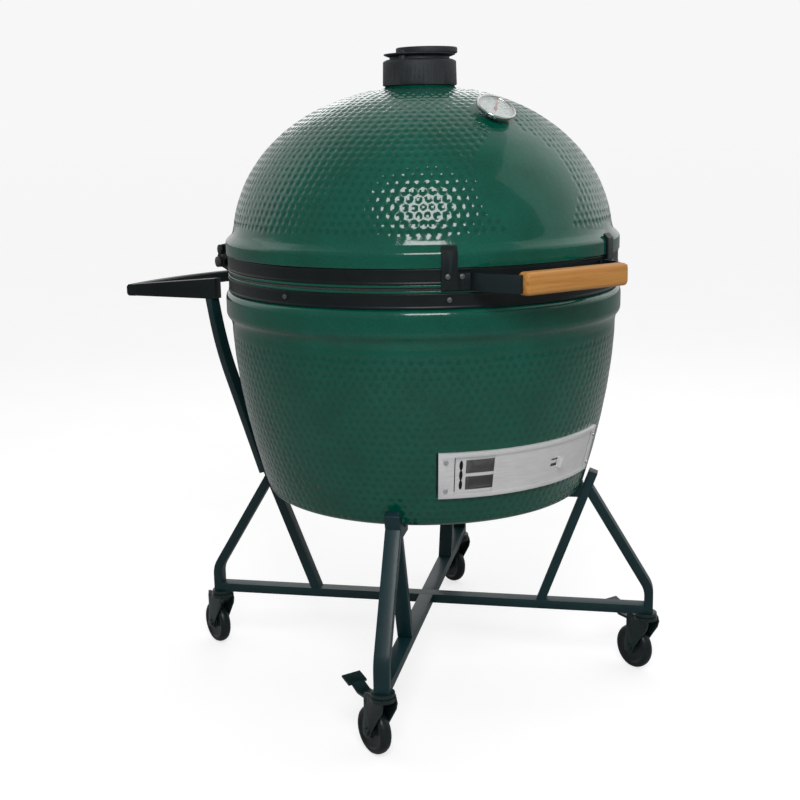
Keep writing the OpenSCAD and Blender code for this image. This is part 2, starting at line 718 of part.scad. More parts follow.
module leg(a) {
  placed() color(frame_green) rotate([0, 0, a]) difference() {
    tube(leg_path, h_t, tube_w, 1);
    upright(tube_w + 2) polygon([strut_foot + strut_side, strut_foot + strut_side + 500 * strut_dir,
      [0, 600], [0, arm_z + tube_t]]);
    seat(1);
  }
}
module leg_fl() {
  leg(a_fl);
}
module leg_fr() {
  leg(a_fr);
}
module leg_bl() {
  leg(a_bl);
}
module leg_br() {
  leg(a_br);
}

module strut(a) {
  placed() color(frame_green) rotate([0, 0, a]) difference() {
    tube(strut_path, h_t, tube_w, -tube_wall);
    translate([0, -50, 0]) cube([arm_r, 100, arm_z + tube_t]);
  }
}
module strut_fl() {
  strut(a_fl);
}
module strut_fr() {
  strut(a_fr);
}
module strut_bl() {
  strut(a_bl);
}
module strut_br() {
  strut(a_br);
}

pad_t = 3.5;
pad_out = pad_t + 0.05;
saddle_z0 = base_bottom_z - 19;
saddle_z1 = base_bottom_z + 9;
saddle_r0 = 300;
module saddles() {
  placed() color(frame_green) for (a = [a_fl, a_fr, a_bl, a_br]) rotate([0, 0, a]) difference() {
    upright(tube_w) polygon([[saddle_r0, saddle_z0], [saddle_face(saddle_z0), saddle_z0],
      [saddle_face(saddle_z1), saddle_z1], [saddle_r0, saddle_z1]]);
    rotate_extrude() polygon(concat([[0, corner_z + 40], [corner_r + corner_a + pad_out, corner_z + 40]],
      corner(corner_a + pad_out, corner_b + pad_out), [[0, base_bottom_z - pad_out]]));
  }
}
function saddle_face(z) = strut_r0 + (z - arm_z - tube_t) * tan(strut_lean) - h_t / cos(strut_lean);

module saddle_pads() {
  placed() color([0.1, 0.3, 0.2]) for (a = [a_fl, a_fr, a_bl, a_br]) rotate([0, 0, a - 2.4])
    rotate_extrude(angle = 4.8) polygon(concat(
      [for (i = [2 : 10]) corner(corner_a, corner_b)[i]],
      [[saddle_r0, base_bottom_z], [saddle_r0, base_bottom_z - pad_t]],
      [for (i = [10 : -1 : 2]) corner(corner_a + pad_t, corner_b + pad_t)[i]]));
}

// ---- push handle
push_z0 = seam_z - 91;
push_z1 = seam_z - 63;
push_arm_z1 = seam_z - 42;
push_az = 33;
riser_top_r = 548;
riser_w = 26;
riser_foot = [-(strut_foot[0] + (strut_len - 34) * strut_dir[0]) * cos(45) - 2, 283];
riser_head = [-riser_top_r * sin(push_az), riser_top_r * cos(push_az)];
riser_turn = atan2(riser_head[1] - riser_foot[1], riser_head[0] - riser_foot[0]);
riser_run = norm(riser_head - riser_foot);
riser_low = [0, seam_z - 489];
riser_knee = [riser_run - 28, seam_z - 204];
riser_high = [riser_run + 1.5, push_z0 + 6];
riser_in = riser_knee + 75 * (riser_low - riser_knee) / norm(riser_low - riser_knee);
riser_out = riser_knee + 75 * (riser_high - riser_knee) / norm(riser_high - riser_knee);
riser_path = concat([riser_low], [for (t = [0 : 0.125 : 1]) (1 - t) * (1 - t) * riser_in
  + 2 * t * (1 - t) * riser_knee + t * t * riser_out], [riser_high]);
module riser(s) {
  placed() color(frame_green) mirror([s > 0 ? 1 : 0, 0, 0]) difference() {
    translate([riser_foot[0], riser_foot[1], 0]) rotate([0, 0, riser_turn])
      tube(riser_path, h_t, riser_w, 1);
    rotate([0, 0, a_bl]) upright(60) polygon(outline([strut_path[0],
      strut_foot + (strut_len + 60) * strut_dir], h_t + 0.01));
    translate([-push_r, 0, push_z0]) cube([2 * push_r, push_r, 50]);
  }
}
module riser_left() {
  riser(-1);
}
module riser_right() {
  riser(1);
}
module push_bar() {
  placed() color(black) {
    sweep(180 - push_az - 1, 180 + push_az + 1) polygon([[push_r - push_half, push_z0 + 3],
      [push_r - push_half + 3, push_z0], [push_r + push_half - 5, push_z0],
      [push_r + push_half, push_z0 + 5], [push_r + push_half, push_z1 - 5],
      [push_r + push_half - 5, push_z1], [push_r - push_half + 3, push_z1],
      [push_r - push_half, push_z1 - 3]]);
    for (s = [-1, 1]) rotate([0, 0, 90 + s * push_az]) upright(riser_w)
      polygon([[riser_top_r - 18, push_z0], [push_r, push_z0 + 0.5], [push_r, push_z1 - 0.5],
        [riser_top_r - 18, push_arm_z1]]);
  }
}

// ---- casters
function stem_xy(a) = [stem_r * cos(a), stem_r * sin(a)];
pivot_gap = 0.4;
module at_stem(a) {
  translate([stem_xy(a)[0], stem_xy(a)[1], 0]) children();
}
king_r = 6;
head_z = arm_z - 8;
module caster_stems() {
  placed() color(black) for (a = [a_fl, a_fr, a_bl, a_br]) at_stem(a) {
    translate([0, 0, head_z]) cylinder(r = 24, h = arm_z - head_z + seat_in);
    translate([0, 0, head_z - 16]) cylinder(r = king_r, h = 17);
    translate([0, 0, head_z - 17]) cylinder(r = 9, h = 4);
  }
}
fork_top = head_z - pivot_gap;
fork_gap = wheel_w / 2 + 2.2;
fork_t = 3.5;
axle_z = wheel_r;
axle_r = 5;
fork_side = [[-24, fork_top - 12], [-20, fork_top - 26], [trail - 18, axle_z + 6],
  [trail - 12, axle_z - 9], [trail, axle_z - 13], [trail + 12, axle_z - 9],
  [trail + 15, axle_z + 6], [trail + 9, axle_z + 40], [44, fork_top - 16], [41, fork_top - 3],
  [28, fork_top], [-20, fork_top]];
pedal_y = 34;
pedal_z = fork_top - 14;
pedal_pin_r = 3;
pedal_w = 2 * fork_gap - 1.2;
module fork(a) {
  placed() color(black) at_stem(a) difference() {
    union() {
      for (s = [-1, 1]) plate_x(s * (fork_gap + fork_t / 2), fork_t) polygon(fork_side);
      difference() {
        translate([0, 0, fork_top - 12]) cylinder(r = 26, h = 12);
        translate([-40, -40, fork_top - 20]) cube([80, 80, 11.9]);
      }
      translate([-fork_gap - 0.5, -22, fork_top - 8.2]) cube([2 * fork_gap + 1, 44, 8.2]);
      along_x(trail, axle_z, axle_r, -fork_gap - fork_t - 4, fork_gap + fork_t + 4);
      for (s = [-1, 1]) along_x(trail, axle_z, 9, s * (fork_gap + fork_t + 2) - 2,
        s * (fork_gap + fork_t + 2) + 2);
    }
    translate([0, 0, fork_top - 20]) cylinder(r = king_r + 0.06, h = 30);
    along_x(pedal_y, pedal_z, pedal_pin_r + 0.06, -40, 40);
  }
}
module fork_fl() {
  fork(a_fl);
}
module fork_fr() {
  fork(a_fr);
}
module fork_bl() {
  fork(a_bl);
}
module fork_br() {
  fork(a_br);
}

module wheel(a) {
  w = wheel_w / 2;
  placed() color([0.06, 0.06, 0.06]) at_stem(a) translate([0, trail, axle_z]) rotate([0, 90, 0])
    rotate_extrude() polygon([[axle_r + 0.06, -w - 1], [14, -w - 1], [15, -w + 3],
      [wheel_r - 16, -w + 3], [wheel_r - 13, -w + 0.5], [wheel_r - 7, -w], [wheel_r - 3, -w + 3],
      [wheel_r - 0.8, -w + 7], [wheel_r, -w + 11], [wheel_r, w - 11], [wheel_r - 0.8, w - 7],
      [wheel_r - 3, w - 3], [wheel_r - 7, w], [wheel_r - 13, w - 0.5], [wheel_r - 16, w - 3],
      [15, w - 3], [14, w + 1], [axle_r + 0.06, w + 1]]);
}
module wheel_fl() {
  wheel(a_fl);
}
module wheel_fr() {
  wheel(a_fr);
}
module wheel_bl() {
  wheel(a_bl);
}
module wheel_br() {
  wheel(a_br);
}

module pedal(a) {
  placed() color(black) at_stem(a) {
    plate_x(0, pedal_w) polygon([[pedal_y - 4, pedal_z - 4], [pedal_y + 6, pedal_z - 6],
      [pedal_y + 40, pedal_z - 5], [pedal_y + 62, pedal_z + 6], [pedal_y + 60, pedal_z + 10],
      [pedal_y + 38, pedal_z], [pedal_y + 6, pedal_z + 1], [pedal_y - 4, pedal_z + 3]]);
    plate_x(0, pedal_w + 14) polygon([[pedal_y + 60.5, pedal_z + 5.5], [pedal_y + 88, pedal_z + 15],
      [pedal_y + 87, pedal_z + 19], [pedal_y + 60, pedal_z + 9.8]]);
    along_x(pedal_y, pedal_z, pedal_pin_r, -fork_gap - fork_t, fork_gap + fork_t);
  }
}
module pedal_fl() {
  pedal(a_fl);
}
module pedal_fr() {
  pedal(a_fr);
}

base_shell();
dome_shell();
fire_box();
fire_ring();
fire_grate();
cooking_grid();
base_gasket();
dome_gasket();
base_band();
dome_band();
base_bolts();
lid_bolts();
hinge_base_bracket();
hinge_lid_bracket();
hinge_pin();
hinge_rod();
hinge_springs();
handle_arm_left();
handle_arm_right();
wood_handle();
gauge_case();
gauge_dial();
gauge_needle();
gauge_lens();
gauge_probe();
vent_body();
vent_lid();
vent_dial();
vent_pivot();
draft_frame();
draft_screen();
draft_door();
draft_screws();
long_tube();
short_tube_front();
short_tube_back();
leg_fl();
leg_fr();
leg_bl();
leg_br();
strut_fl();
strut_fr();
strut_bl();
strut_br();
saddles();
saddle_pads();
riser_left();
riser_right();
push_bar();
caster_stems();
fork_fl();
fork_fr();
fork_bl();
fork_br();
wheel_fl();
wheel_fr();
wheel_bl();
wheel_br();
pedal_fl();
pedal_fr();
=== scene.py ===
"""The looks of a kamado grill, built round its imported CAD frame. Metres, +Z up, front at -Y."""

import json
import math

import bmesh
import bpy
import numpy as np
from mathutils import Matrix, Vector


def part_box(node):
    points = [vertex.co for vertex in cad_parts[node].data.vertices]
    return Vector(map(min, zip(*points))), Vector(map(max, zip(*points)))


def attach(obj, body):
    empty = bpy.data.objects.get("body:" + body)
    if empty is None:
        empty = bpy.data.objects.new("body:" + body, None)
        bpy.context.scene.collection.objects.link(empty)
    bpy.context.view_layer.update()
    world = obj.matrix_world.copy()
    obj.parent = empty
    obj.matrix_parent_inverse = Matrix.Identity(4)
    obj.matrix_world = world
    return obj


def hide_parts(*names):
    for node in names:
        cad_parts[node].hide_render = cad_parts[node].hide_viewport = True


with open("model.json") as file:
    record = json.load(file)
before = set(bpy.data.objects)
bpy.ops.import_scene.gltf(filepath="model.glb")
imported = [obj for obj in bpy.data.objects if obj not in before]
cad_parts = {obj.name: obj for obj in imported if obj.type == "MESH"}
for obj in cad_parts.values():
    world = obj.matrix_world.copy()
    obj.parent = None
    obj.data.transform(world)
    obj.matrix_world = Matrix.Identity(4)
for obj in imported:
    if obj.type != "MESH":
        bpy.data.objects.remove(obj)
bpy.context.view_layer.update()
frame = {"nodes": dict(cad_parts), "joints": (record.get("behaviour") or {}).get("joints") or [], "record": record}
NODES = frame["nodes"]
RECORD = frame["record"]
JOINT = {j["name"]: j for j in frame["joints"]}
BODY = {n: b for b, members in RECORD["behaviour"]["bodies"].items() for n in members}
SLOT = {s["node"]: s["material_slot"] for s in RECORD["subparts"]}
CORNERS = ("fl", "fr", "bl", "br")
MM = 0.001

DOME_LO, DOME_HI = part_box("dome_shell")
BASE_LO, BASE_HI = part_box("base_shell")
EGG_Y = (DOME_LO.y + DOME_HI.y) / 2
SEAM = (DOME_LO.z + BASE_HI.z) / 2


# ---------------------------------------------------------------- materials
def shader(name):
    """A new material with its node tree, its Principled shader and its object coordinates."""
    mat = bpy.data.materials.new(name)
    mat.use_nodes = True
    tree = mat.node_tree
    bsdf = tree.nodes["Principled BSDF"]
    coords = tree.nodes.new("ShaderNodeTexCoord")
    return mat, tree, bsdf, coords.outputs["Object"]


def stretched(tree, vector, scale):
    """The coordinates scaled along each axis, so that a pattern runs in one direction."""
    node = tree.nodes.new("ShaderNodeMapping")
    node.inputs["Scale"].default_value = scale
    tree.links.new(vector, node.inputs["Vector"])
    return node.outputs["Vector"]


def noise(tree, vector, scale, detail=4.0, rough=0.55, distortion=0.0):
    node = tree.nodes.new("ShaderNodeTexNoise")
    node.inputs["Scale"].default_value = scale
    node.inputs["Detail"].default_value = detail
    node.inputs["Roughness"].default_value = rough
    node.inputs["Distortion"].default_value = distortion
    tree.links.new(vector, node.inputs["Vector"])
    return node.outputs["Fac"]


def ramp(tree, value, stops):
    """A colour ramp with (position, colour) stops."""
    node = tree.nodes.new("ShaderNodeValToRGB")
    elements = node.color_ramp.elements
    while len(elements) < len(stops):
        elements.new(0.5)
    for element, (place, colour) in zip(elements, stops):
        element.position = place
        element.color = (*colour, 1)
    tree.links.new(value, node.inputs["Fac"])
    return node.outputs["Color"]


def span(tree, value, low, high):
    """The value moved from 0..1 into low..high."""
    node = tree.nodes.new("ShaderNodeMapRange")
    node.inputs["To Min"].default_value = low
    node.inputs["To Max"].default_value = high
    tree.links.new(value, node.inputs["Value"])
    return node.outputs["Result"]


def blend_colours(tree, share, a, b, mode="MIX"):
    node = tree.nodes.new("ShaderNodeMix")
    node.data_type = "RGBA"
    node.blend_type = mode
    for value, socket in ((share, node.inputs["Factor"]), (a, node.inputs["A"]), (b, node.inputs["B"])):
        if isinstance(value, (tuple, float)):
            socket.default_value = (*value, 1) if isinstance(value, tuple) else value
        else:
            tree.links.new(value, socket)
    return node.outputs["Result"]


def bump(tree, bsdf, height, depth, under=None):
    """Adds relief of that depth in metres to the shader, over any relief already made."""
    node = tree.nodes.new("ShaderNodeBump")
    node.inputs["Distance"].default_value = depth
    tree.links.new(height, node.inputs["Height"])
    if under is not None:
        tree.links.new(under, node.inputs["Normal"])
    tree.links.new(node.outputs["Normal"], bsdf.inputs["Normal"])
    return node.outputs["Normal"]


def surface(tree, bsdf, colour, roughness):
    tree.links.new(colour, bsdf.inputs["Base Color"])
    tree.links.new(roughness, bsdf.inputs["Roughness"])


def shade(colour, factor):
    return tuple(min(1.0, c * factor) for c in colour)


def edge_wear(tree, base, worn, low=0.52, high=0.60):
    """Mixes a worn colour over the base along the convex edges."""
    geometry = tree.nodes.new("ShaderNodeNewGeometry")
    edges = ramp(tree, geometry.outputs["Pointiness"], [(low, (0, 0, 0)), (high, (1, 1, 1))])
    return blend_colours(tree, edges, base, worn)


def glaze():
    """Thick green glaze: it pools darker in the cups and thins out to a lighter green between them."""
    mat, tree, bsdf, obj = shader("green_glaze")
    cup = tree.nodes.new("ShaderNodeAttribute")
    cup.attribute_name = "cup"
    cloud = noise(tree, obj, 9, 3)
    speck = noise(tree, obj, 260, 2)
    base = ramp(tree, cloud, [(0.3, (0.0008, 0.082, 0.050)), (0.7, (0.0016, 0.112, 0.072))])
    pooled = blend_colours(tree, cup.outputs["Fac"], base, (0.0008, 0.076, 0.048))
    fine = ramp(tree, speck, [(0.35, (0.82, 0.82, 0.82)), (0.65, (1, 1, 1))])
    colour = blend_colours(tree, 1.0, pooled, fine, "MULTIPLY")
    surface(tree, bsdf, colour, span(tree, noise(tree, obj, 40, 4), 0.12, 0.20))
    bsdf.inputs["Coat Weight"].default_value = 0.55
    bsdf.inputs["Coat Roughness"].default_value = 0.04
    bsdf.inputs["Specular IOR Level"].default_value = 0.22
    relief = bump(tree, bsdf, noise(tree, obj, 55, 3), 0.0007)
    bump(tree, bsdf, noise(tree, obj, 420, 2), 0.00005, relief)
    return mat


def fire_clay():
    mat, tree, bsdf, obj = shader("fire_clay")
    cloud = noise(tree, obj, 14, 6)
    grain = noise(tree, obj, 500, 3)
    base = ramp(tree, cloud, [(0.3, (0.34, 0.27, 0.20)), (0.55, (0.47, 0.38, 0.29)),
                              (0.75, (0.56, 0.47, 0.36))])
    spots = ramp(tree, grain, [(0.38, (0.72, 0.70, 0.68)), (0.55, (1, 1, 1))])
    surface(tree, bsdf, blend_colours(tree, 1.0, base, spots, "MULTIPLY"), span(tree, cloud, 0.82, 0.96))
    relief = bump(tree, bsdf, grain, 0.0005)
    bump(tree, bsdf, noise(tree, obj, 90, 4), 0.0009, relief)
    return mat


def cast_iron():
    mat, tree, bsdf, obj = shader("cast_iron")
    cloud = noise(tree, obj, 35, 5)
    grain = noise(tree, obj, 1100, 3, 0.7)
    base = ramp(tree, cloud, [(0.3, (0.0135, 0.0175, 0.0205)), (0.7, (0.024, 0.030, 0.034))])
    surface(tree, bsdf, edge_wear(tree, base, (0.045, 0.048, 0.05)), span(tree, grain, 0.46, 0.68))
    bsdf.inputs["Metallic"].default_value = 0.15
    relief = bump(tree, bsdf, grain, 0.00035)
    bump(tree, bsdf, noise(tree, obj, 180, 3), 0.0004, relief)
    return mat


def paint(name, colour, rough=(0.28, 0.42), coat=0.25, worn=None):
    """Powder coat: a fine orange peel, a little cloudiness and lighter worn edges."""
    mat, tree, bsdf, obj = shader(name)
    cloud = noise(tree, obj, 22, 5)
    peel = noise(tree, obj, 620, 2)
    base = ramp(tree, cloud, [(0.3, shade(colour, 0.78)), (0.7, shade(colour, 1.22))])
    surface(tree, bsdf, edge_wear(tree, base, worn or shade(colour, 2.4)), span(tree, cloud, *rough))
    bsdf.inputs["Coat Weight"].default_value = coat
    bsdf.inputs["Coat Roughness"].default_value = 0.15
    bsdf.inputs["Specular IOR Level"].default_value = 0.3
    bump(tree, bsdf, peel, 0.00012)
    return mat


def brushed(name, colour, scale, rough=(0.30, 0.46), metallic=0.85):
    """Brushed metal: long fine scratches along the axis with the smallest scale."""
    mat, tree, bsdf, obj = shader(name)
    lines = noise(tree, stretched(tree, obj, scale), 1.0, 6, 0.7)
    cloud = noise(tree, obj, 18, 3)
    base = ramp(tree, lines, [(0.25, shade(colour, 0.82)), (0.75, shade(colour, 1.1))])
    smudge = ramp(tree, cloud, [(0.3, (0.92, 0.92, 0.93)), (0.7, (1, 1, 1))])
    surface(tree, bsdf, blend_colours(tree, 1.0, base, smudge, "MULTIPLY"), span(tree, lines, *rough))
    bsdf.inputs["Metallic"].default_value = metallic
    bump(tree, bsdf, lines, 0.00006)
    return mat


def oak():
    """Straight-grained oiled oak along X, with pores and darker late wood."""
    mat, tree, bsdf, obj = shader("oak")
    along = stretched(tree, obj, (1.6, 70.0, 70.0))
    rings = noise(tree, along, 1.3, 4, 0.5, 0.35)
    pores = noise(tree, stretched(tree, obj, (18.0, 700.0, 700.0)), 1.0, 3, 0.6)
    base = ramp(tree, rings, [(0.26, (0.34, 0.130, 0.026)), (0.42, (0.52, 0.225, 0.052)),
                              (0.60, (0.61, 0.285, 0.072)), (0.78, (0.42, 0.165, 0.036))])
    flecks = ramp(tree, pores, [(0.30, (0.80, 0.74, 0.66)), (0.46, (1, 1, 1))])
    surface(tree, bsdf, blend_colours(tree, 1.0, base, flecks, "MULTIPLY"), span(tree, rings, 0.36, 0.52))
    bsdf.inputs["Coat Weight"].default_value = 0.1
    bsdf.inputs["Coat Roughness"].default_value = 0.3
    bsdf.inputs["Specular IOR Level"].default_value = 0.35
    bump(tree, bsdf, pores, 0.00018)
    return mat


def felt():
    mat, tree, bsdf, obj = shader("felt")
    fuzz = noise(tree, obj, 900, 4, 0.7)
    base = ramp(tree, fuzz, [(0.35, (0.012, 0.016, 0.014)), (0.65, (0.042, 0.048, 0.042))])
    surface(tree, bsdf, base, span(tree, fuzz, 0.85, 1.0))
    bsdf.inputs["Sheen Weight"].default_value = 0.4
    bump(tree, bsdf, fuzz, 0.0008)
    return mat


def rubber(name, colour, rough=(0.42, 0.62)):
    mat, tree, bsdf, obj = shader(name)
    dust = noise(tree, obj, 60, 6, 0.65)
    grain = noise(tree, obj, 1300, 2)
    base = ramp(tree, dust, [(0.35, shade(colour, 0.8)), (0.75, shade(colour, 1.5))])
    surface(tree, bsdf, base, span(tree, dust, *rough))
    bsdf.inputs["Specular IOR Level"].default_value = 0.32
    bump(tree, bsdf, grain, 0.00012)
    return mat


def chrome():
    mat, tree, bsdf, obj = shader("gauge_chrome")
    smudge = noise(tree, obj, 90, 4)
    base = ramp(tree, smudge, [(0.3, (0.60, 0.60, 0.61)), (0.7, (0.74, 0.74, 0.75))])
    surface(tree, bsdf, base, span(tree, smudge, 0.10, 0.22))
    bsdf.inputs["Metallic"].default_value = 1.0
    bump(tree, bsdf, noise(tree, obj, 700, 2), 0.00002)
    return mat


def dial_face():
    """A pale dial with a faint circular brushing."""
    mat, tree, bsdf, obj = shader("dial_face")
    lines = noise(tree, stretched(tree, obj, (40.0, 1500.0, 1500.0)), 1.0, 3)
    base = ramp(tree, lines, [(0.3, (0.66, 0.66, 0.67)), (0.7, (0.80, 0.80, 0.80))])
    surface(tree, bsdf, base, span(tree, lines, 0.34, 0.5))
    bsdf.inputs["Metallic"].default_value = 0.25
    bump(tree, bsdf, lines, 0.00002)
    return mat


def ink(name, colour):
    mat, tree, bsdf, obj = shader(name)
    fade = noise(tree, obj, 300, 3)
    base = ramp(tree, fade, [(0.3, shade(colour, 0.8)), (0.7, shade(colour, 1.2))])
    surface(tree, bsdf, base, span(tree, fade, 0.4, 0.55))
    return mat


def gauge_glass():
    """Thin clear glass: mostly see-through, with a mirror sheen at a slant and faint smears."""
    mat, tree, bsdf, obj = shader("gauge_glass")
    smear = noise(tree, obj, 70, 4)
    tree.links.new(span(tree, smear, 0.02, 0.08), bsdf.inputs["Roughness"])
    clear = tree.nodes.new("ShaderNodeBsdfTransparent")
    clear.inputs["Color"].default_value = (0.96, 0.98, 0.97, 1)
    bsdf.inputs["Base Color"].default_value = (0.9, 0.93, 0.92, 1)
    mix = tree.nodes.new("ShaderNodeMixShader")
    facing = tree.nodes.new("ShaderNodeLayerWeight")
    facing.inputs["Blend"].default_value = 0.18
    tree.links.new(span(tree, facing.outputs["Facing"], 0.06, 0.7), mix.inputs["Fac"])
    tree.links.new(clear.outputs["BSDF"], mix.inputs[1])
    tree.links.new(bsdf.outputs["BSDF"], mix.inputs[2])
    tree.links.new(mix.outputs["Shader"], tree.nodes["Material Output"].inputs["Surface"])
    return mat


MAT = {
    "green_glaze": glaze(),
    "fire_clay": fire_clay(),
    "iron": cast_iron(),
    "stainless": brushed("stainless", (0.93, 0.93, 0.92), (30.0, 30.0, 900.0), (0.28, 0.42), 0.30),
    "felt": felt(),
    "black_steel": paint("black_steel", (0.0028, 0.0066, 0.0072), (0.34, 0.48), 0.06),
    "spring_steel": paint("spring_steel", (0.022, 0.023, 0.025), (0.22, 0.36), 0.1, (0.12, 0.12, 0.12)),
    "oak": oak(),
    "gauge_chrome": chrome(),
    "dial_face": dial_face(),
    "needle_paint": ink("needle_paint", (0.40, 0.025, 0.02)),
    "gauge_glass": gauge_glass(),
    "frame_paint": paint("frame_paint", (0.0040, 0.0215, 0.0255), (0.34, 0.48), 0.10),
    "pad_silicone": rubber("pad_silicone", (0.010, 0.055, 0.038)),
    "caster_steel": paint("caster_steel", (0.0055, 0.0140, 0.0145), (0.26, 0.38), 0.2),
    "wheel_rubber": rubber("wheel_rubber", (0.0075, 0.0135, 0.0150), (0.26, 0.40)),
}
# Near-black painted shade for the seat behind the draft door, so that its slots look dark
RECESS_SHADE = rubber("painted_recess_shade", (0.010, 0.0095, 0.009), (0.85, 0.98))
BOLT = brushed("bolt_zinc", (0.16, 0.17, 0.18), (300.0, 300.0, 300.0), (0.34, 0.5), 0.8)
WIRE = brushed("screen_wire", (0.30, 0.31, 0.31), (300.0, 300.0, 900.0), (0.35, 0.5))
DIAL_INK = ink("dial_ink", (0.02, 0.02, 0.022))


# ---------------------------------------------------------------- mesh helpers
def piece(name, mesh, node, materials=None, stands_for=True):
    """Links a mesh as a piece that rides with the CAD node's body, and stands for the node."""
    obj = bpy.data.objects.new(name, mesh)
    bpy.context.scene.collection.objects.link(obj)
    if not mesh.materials:
        for mat in materials or [MAT[SLOT[node]]]:
            mesh.materials.append(mat)
    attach(obj, BODY[node])
    if stands_for:
        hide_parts(node)
    return obj


def mesh_from(name, verts, faces, smooth=True):
    mesh = bpy.data.meshes.new(name)
    mesh.from_pydata([tuple(v) for v in verts], [], faces)
    mesh.update()
    if smooth:
        mesh.shade_smooth()
    return mesh


def mark_sharp(bm, degrees):
    limit = math.radians(degrees)
    for edge in bm.edges:
        edge.smooth = len(edge.link_faces) == 2 and edge.calc_face_angle(0) < limit
    for face in bm.faces:
        face.smooth = True


def refine(node, width=0.8 * MM, segments=2, angle=32, name=None):
    """A node's own shape with its real edge rounding, as a new piece."""
    bm = bmesh.new()
    bm.from_mesh(NODES[node].data)
    bmesh.ops.remove_doubles(bm, verts=bm.verts, dist=1e-6)
    bmesh.ops.dissolve_limit(bm, angle_limit=math.radians(0.5), verts=bm.verts, edges=bm.edges)
    limit = math.radians(angle)
    edges = [e for e in bm.edges if len(e.link_faces) == 2 and e.calc_face_angle(0) > limit]
    bmesh.ops.bevel(bm, geom=edges, offset=width, offset_type="OFFSET", segments=segments,
                    profile=0.5, affect="EDGES", clamp_overlap=True)
    mark_sharp(bm, 40)
    mesh = bpy.data.meshes.new(name or node + "_piece")
    bm.to_mesh(mesh)
    bm.free()
    return piece(name or node + "_piece", mesh, node)


def arc_corner(a, p, b, cut, steps=5):
    """The corner p between a and b, rounded from a cut before it to a cut after it."""
    a, p, b = Vector(a), Vector(p), Vector(b)
    start = p + (a - p).normalized() * min(cut, (a - p).length * 0.49)
    end = p + (b - p).normalized() * min(cut, (b - p).length * 0.49)
    curve = []
    for i in range(steps + 1):
        t = i / steps
        curve.append(start * (1 - t) ** 2 + p * 2 * t * (1 - t) + end * t * t)
    return [tuple(v) for v in curve]


def rounded(points, cut, steps=4, closed=False):
    """An outline with every corner rounded; cut is one length or one for each point."""
    cuts = cut if isinstance(cut, (list, tuple)) else [cut] * len(points)
    made = []
    for i, p in enumerate(points):
        inner = closed or 0 < i < len(points) - 1
        if inner and cuts[i] > 0:
            made += arc_corner(points[i - 1], p, points[(i + 1) % len(points)], cuts[i], steps)
        else:
            made.append(tuple(p))
    return made


def lathe(profile, sides=96, place=None):
    """Vertices and faces of a closed (radius, height) outline turned about Z, set in place by a matrix."""
    place = place or Matrix.Translation((0, EGG_Y, 0))
    turn = [2 * math.pi * i / sides for i in range(sides)]
    verts = [place @ Vector((r * math.cos(t), r * math.sin(t), z)) for r, z in profile for t in turn]
    rows = len(profile)
    faces = []
    for i in range(rows):
        k = (i + 1) % rows
        for j in range(sides):
            m = (j + 1) % sides
            faces.append((i * sides + j, i * sides + m, k * sides + m, k * sides + j))
    return verts, faces


def turned(name, node, profile, sides=96, place=None, **more):
    """A lathed piece; its outline runs up the outside and down the inside."""
    verts, faces = lathe(profile, sides, place)
    mesh = mesh_from(name, verts, faces)
    bm = bmesh.new()
    bm.from_mesh(mesh)
    bmesh.ops.remove_doubles(bm, verts=bm.verts, dist=1e-7)
    bmesh.ops.recalc_face_normals(bm, faces=bm.faces)
    mark_sharp(bm, 50)
    bm.to_mesh(mesh)
    bm.free()
    return piece(name, mesh, node, **more)


def tube(path, radius, sides=8, closed=False):
    """Vertices and faces of a round wire along a path of points."""
    path = [Vector(p) for p in path]
    count = len(path)
    verts, faces = [], []
    normal = None
    for i, p in enumerate(path):
        ahead = path[(i + 1) % count] if closed or i < count - 1 else path[i]
        behind = path[i - 1] if closed or i > 0 else path[i]
        along = (ahead - behind).normalized()
        if normal is None:
            normal = along.orthogonal().normalized()
        normal = (normal - along * normal.dot(along)).normalized()
        across = along.cross(normal)
        for j in range(sides):
            t = 2 * math.pi * j / sides
            verts.append(p + (normal * math.cos(t) + across * math.sin(t)) * radius)
    for i in range(count if closed else count - 1):
        k = (i + 1) % count
        for j in range(sides):
            m = (j + 1) % sides
            faces.append((i * sides + j, i * sides + m, k * sides + m, k * sides + j))
    if not closed:
        faces.append(tuple(range(sides - 1, -1, -1)))
        faces.append(tuple((count - 1) * sides + j for j in range(sides)))
    return verts, faces


def merged(parts):
    """Joins several (vertices, faces) pairs into one."""
    verts, faces = [], []
    for v, f in parts:
        start = len(verts)
        verts += list(v)
        faces += [tuple(start + i for i in face) for face in f]
    return verts, faces


# ---------------------------------------------------------------- the two ceramic shells
GRID = 2.8 * MM
COLUMNS = 936
CUP_R = 6.9 * MM
CUP_DEPTH = 1.35 * MM
CUP_PITCH = 18.2 * MM
ROW_PITCH = CUP_PITCH * math.sqrt(3) / 2
NEAT_AZ = math.radians(-33)


class Outline:
    """A (radius, height) outline, measured along its length."""

    def __init__(self, points):
        self.points = np.array(points, float)
        steps = np.linalg.norm(np.diff(self.points, axis=0), axis=1)
        self.length = np.concatenate([[0], np.cumsum(steps)])

    def at(self, s):
        return [np.interp(s, self.length, self.points[:, k]) for k in (0, 1)]

    def normal(self, s):
        d = 1.5 * MM
        (r0, z0), (r1, z1) = self.at(s - d), self.at(s + d)
        run = np.hypot(r1 - r0, z1 - z0) + 1e-12
        return (z1 - z0) / run, -(r1 - r0) / run

    def s_at_height(self, z, low, high):
        """The length at which the outline passes a height, between two lengths where it rises."""
        s = np.linspace(low, high, 4000)
        return float(np.interp(z, self.at(s)[1], s))


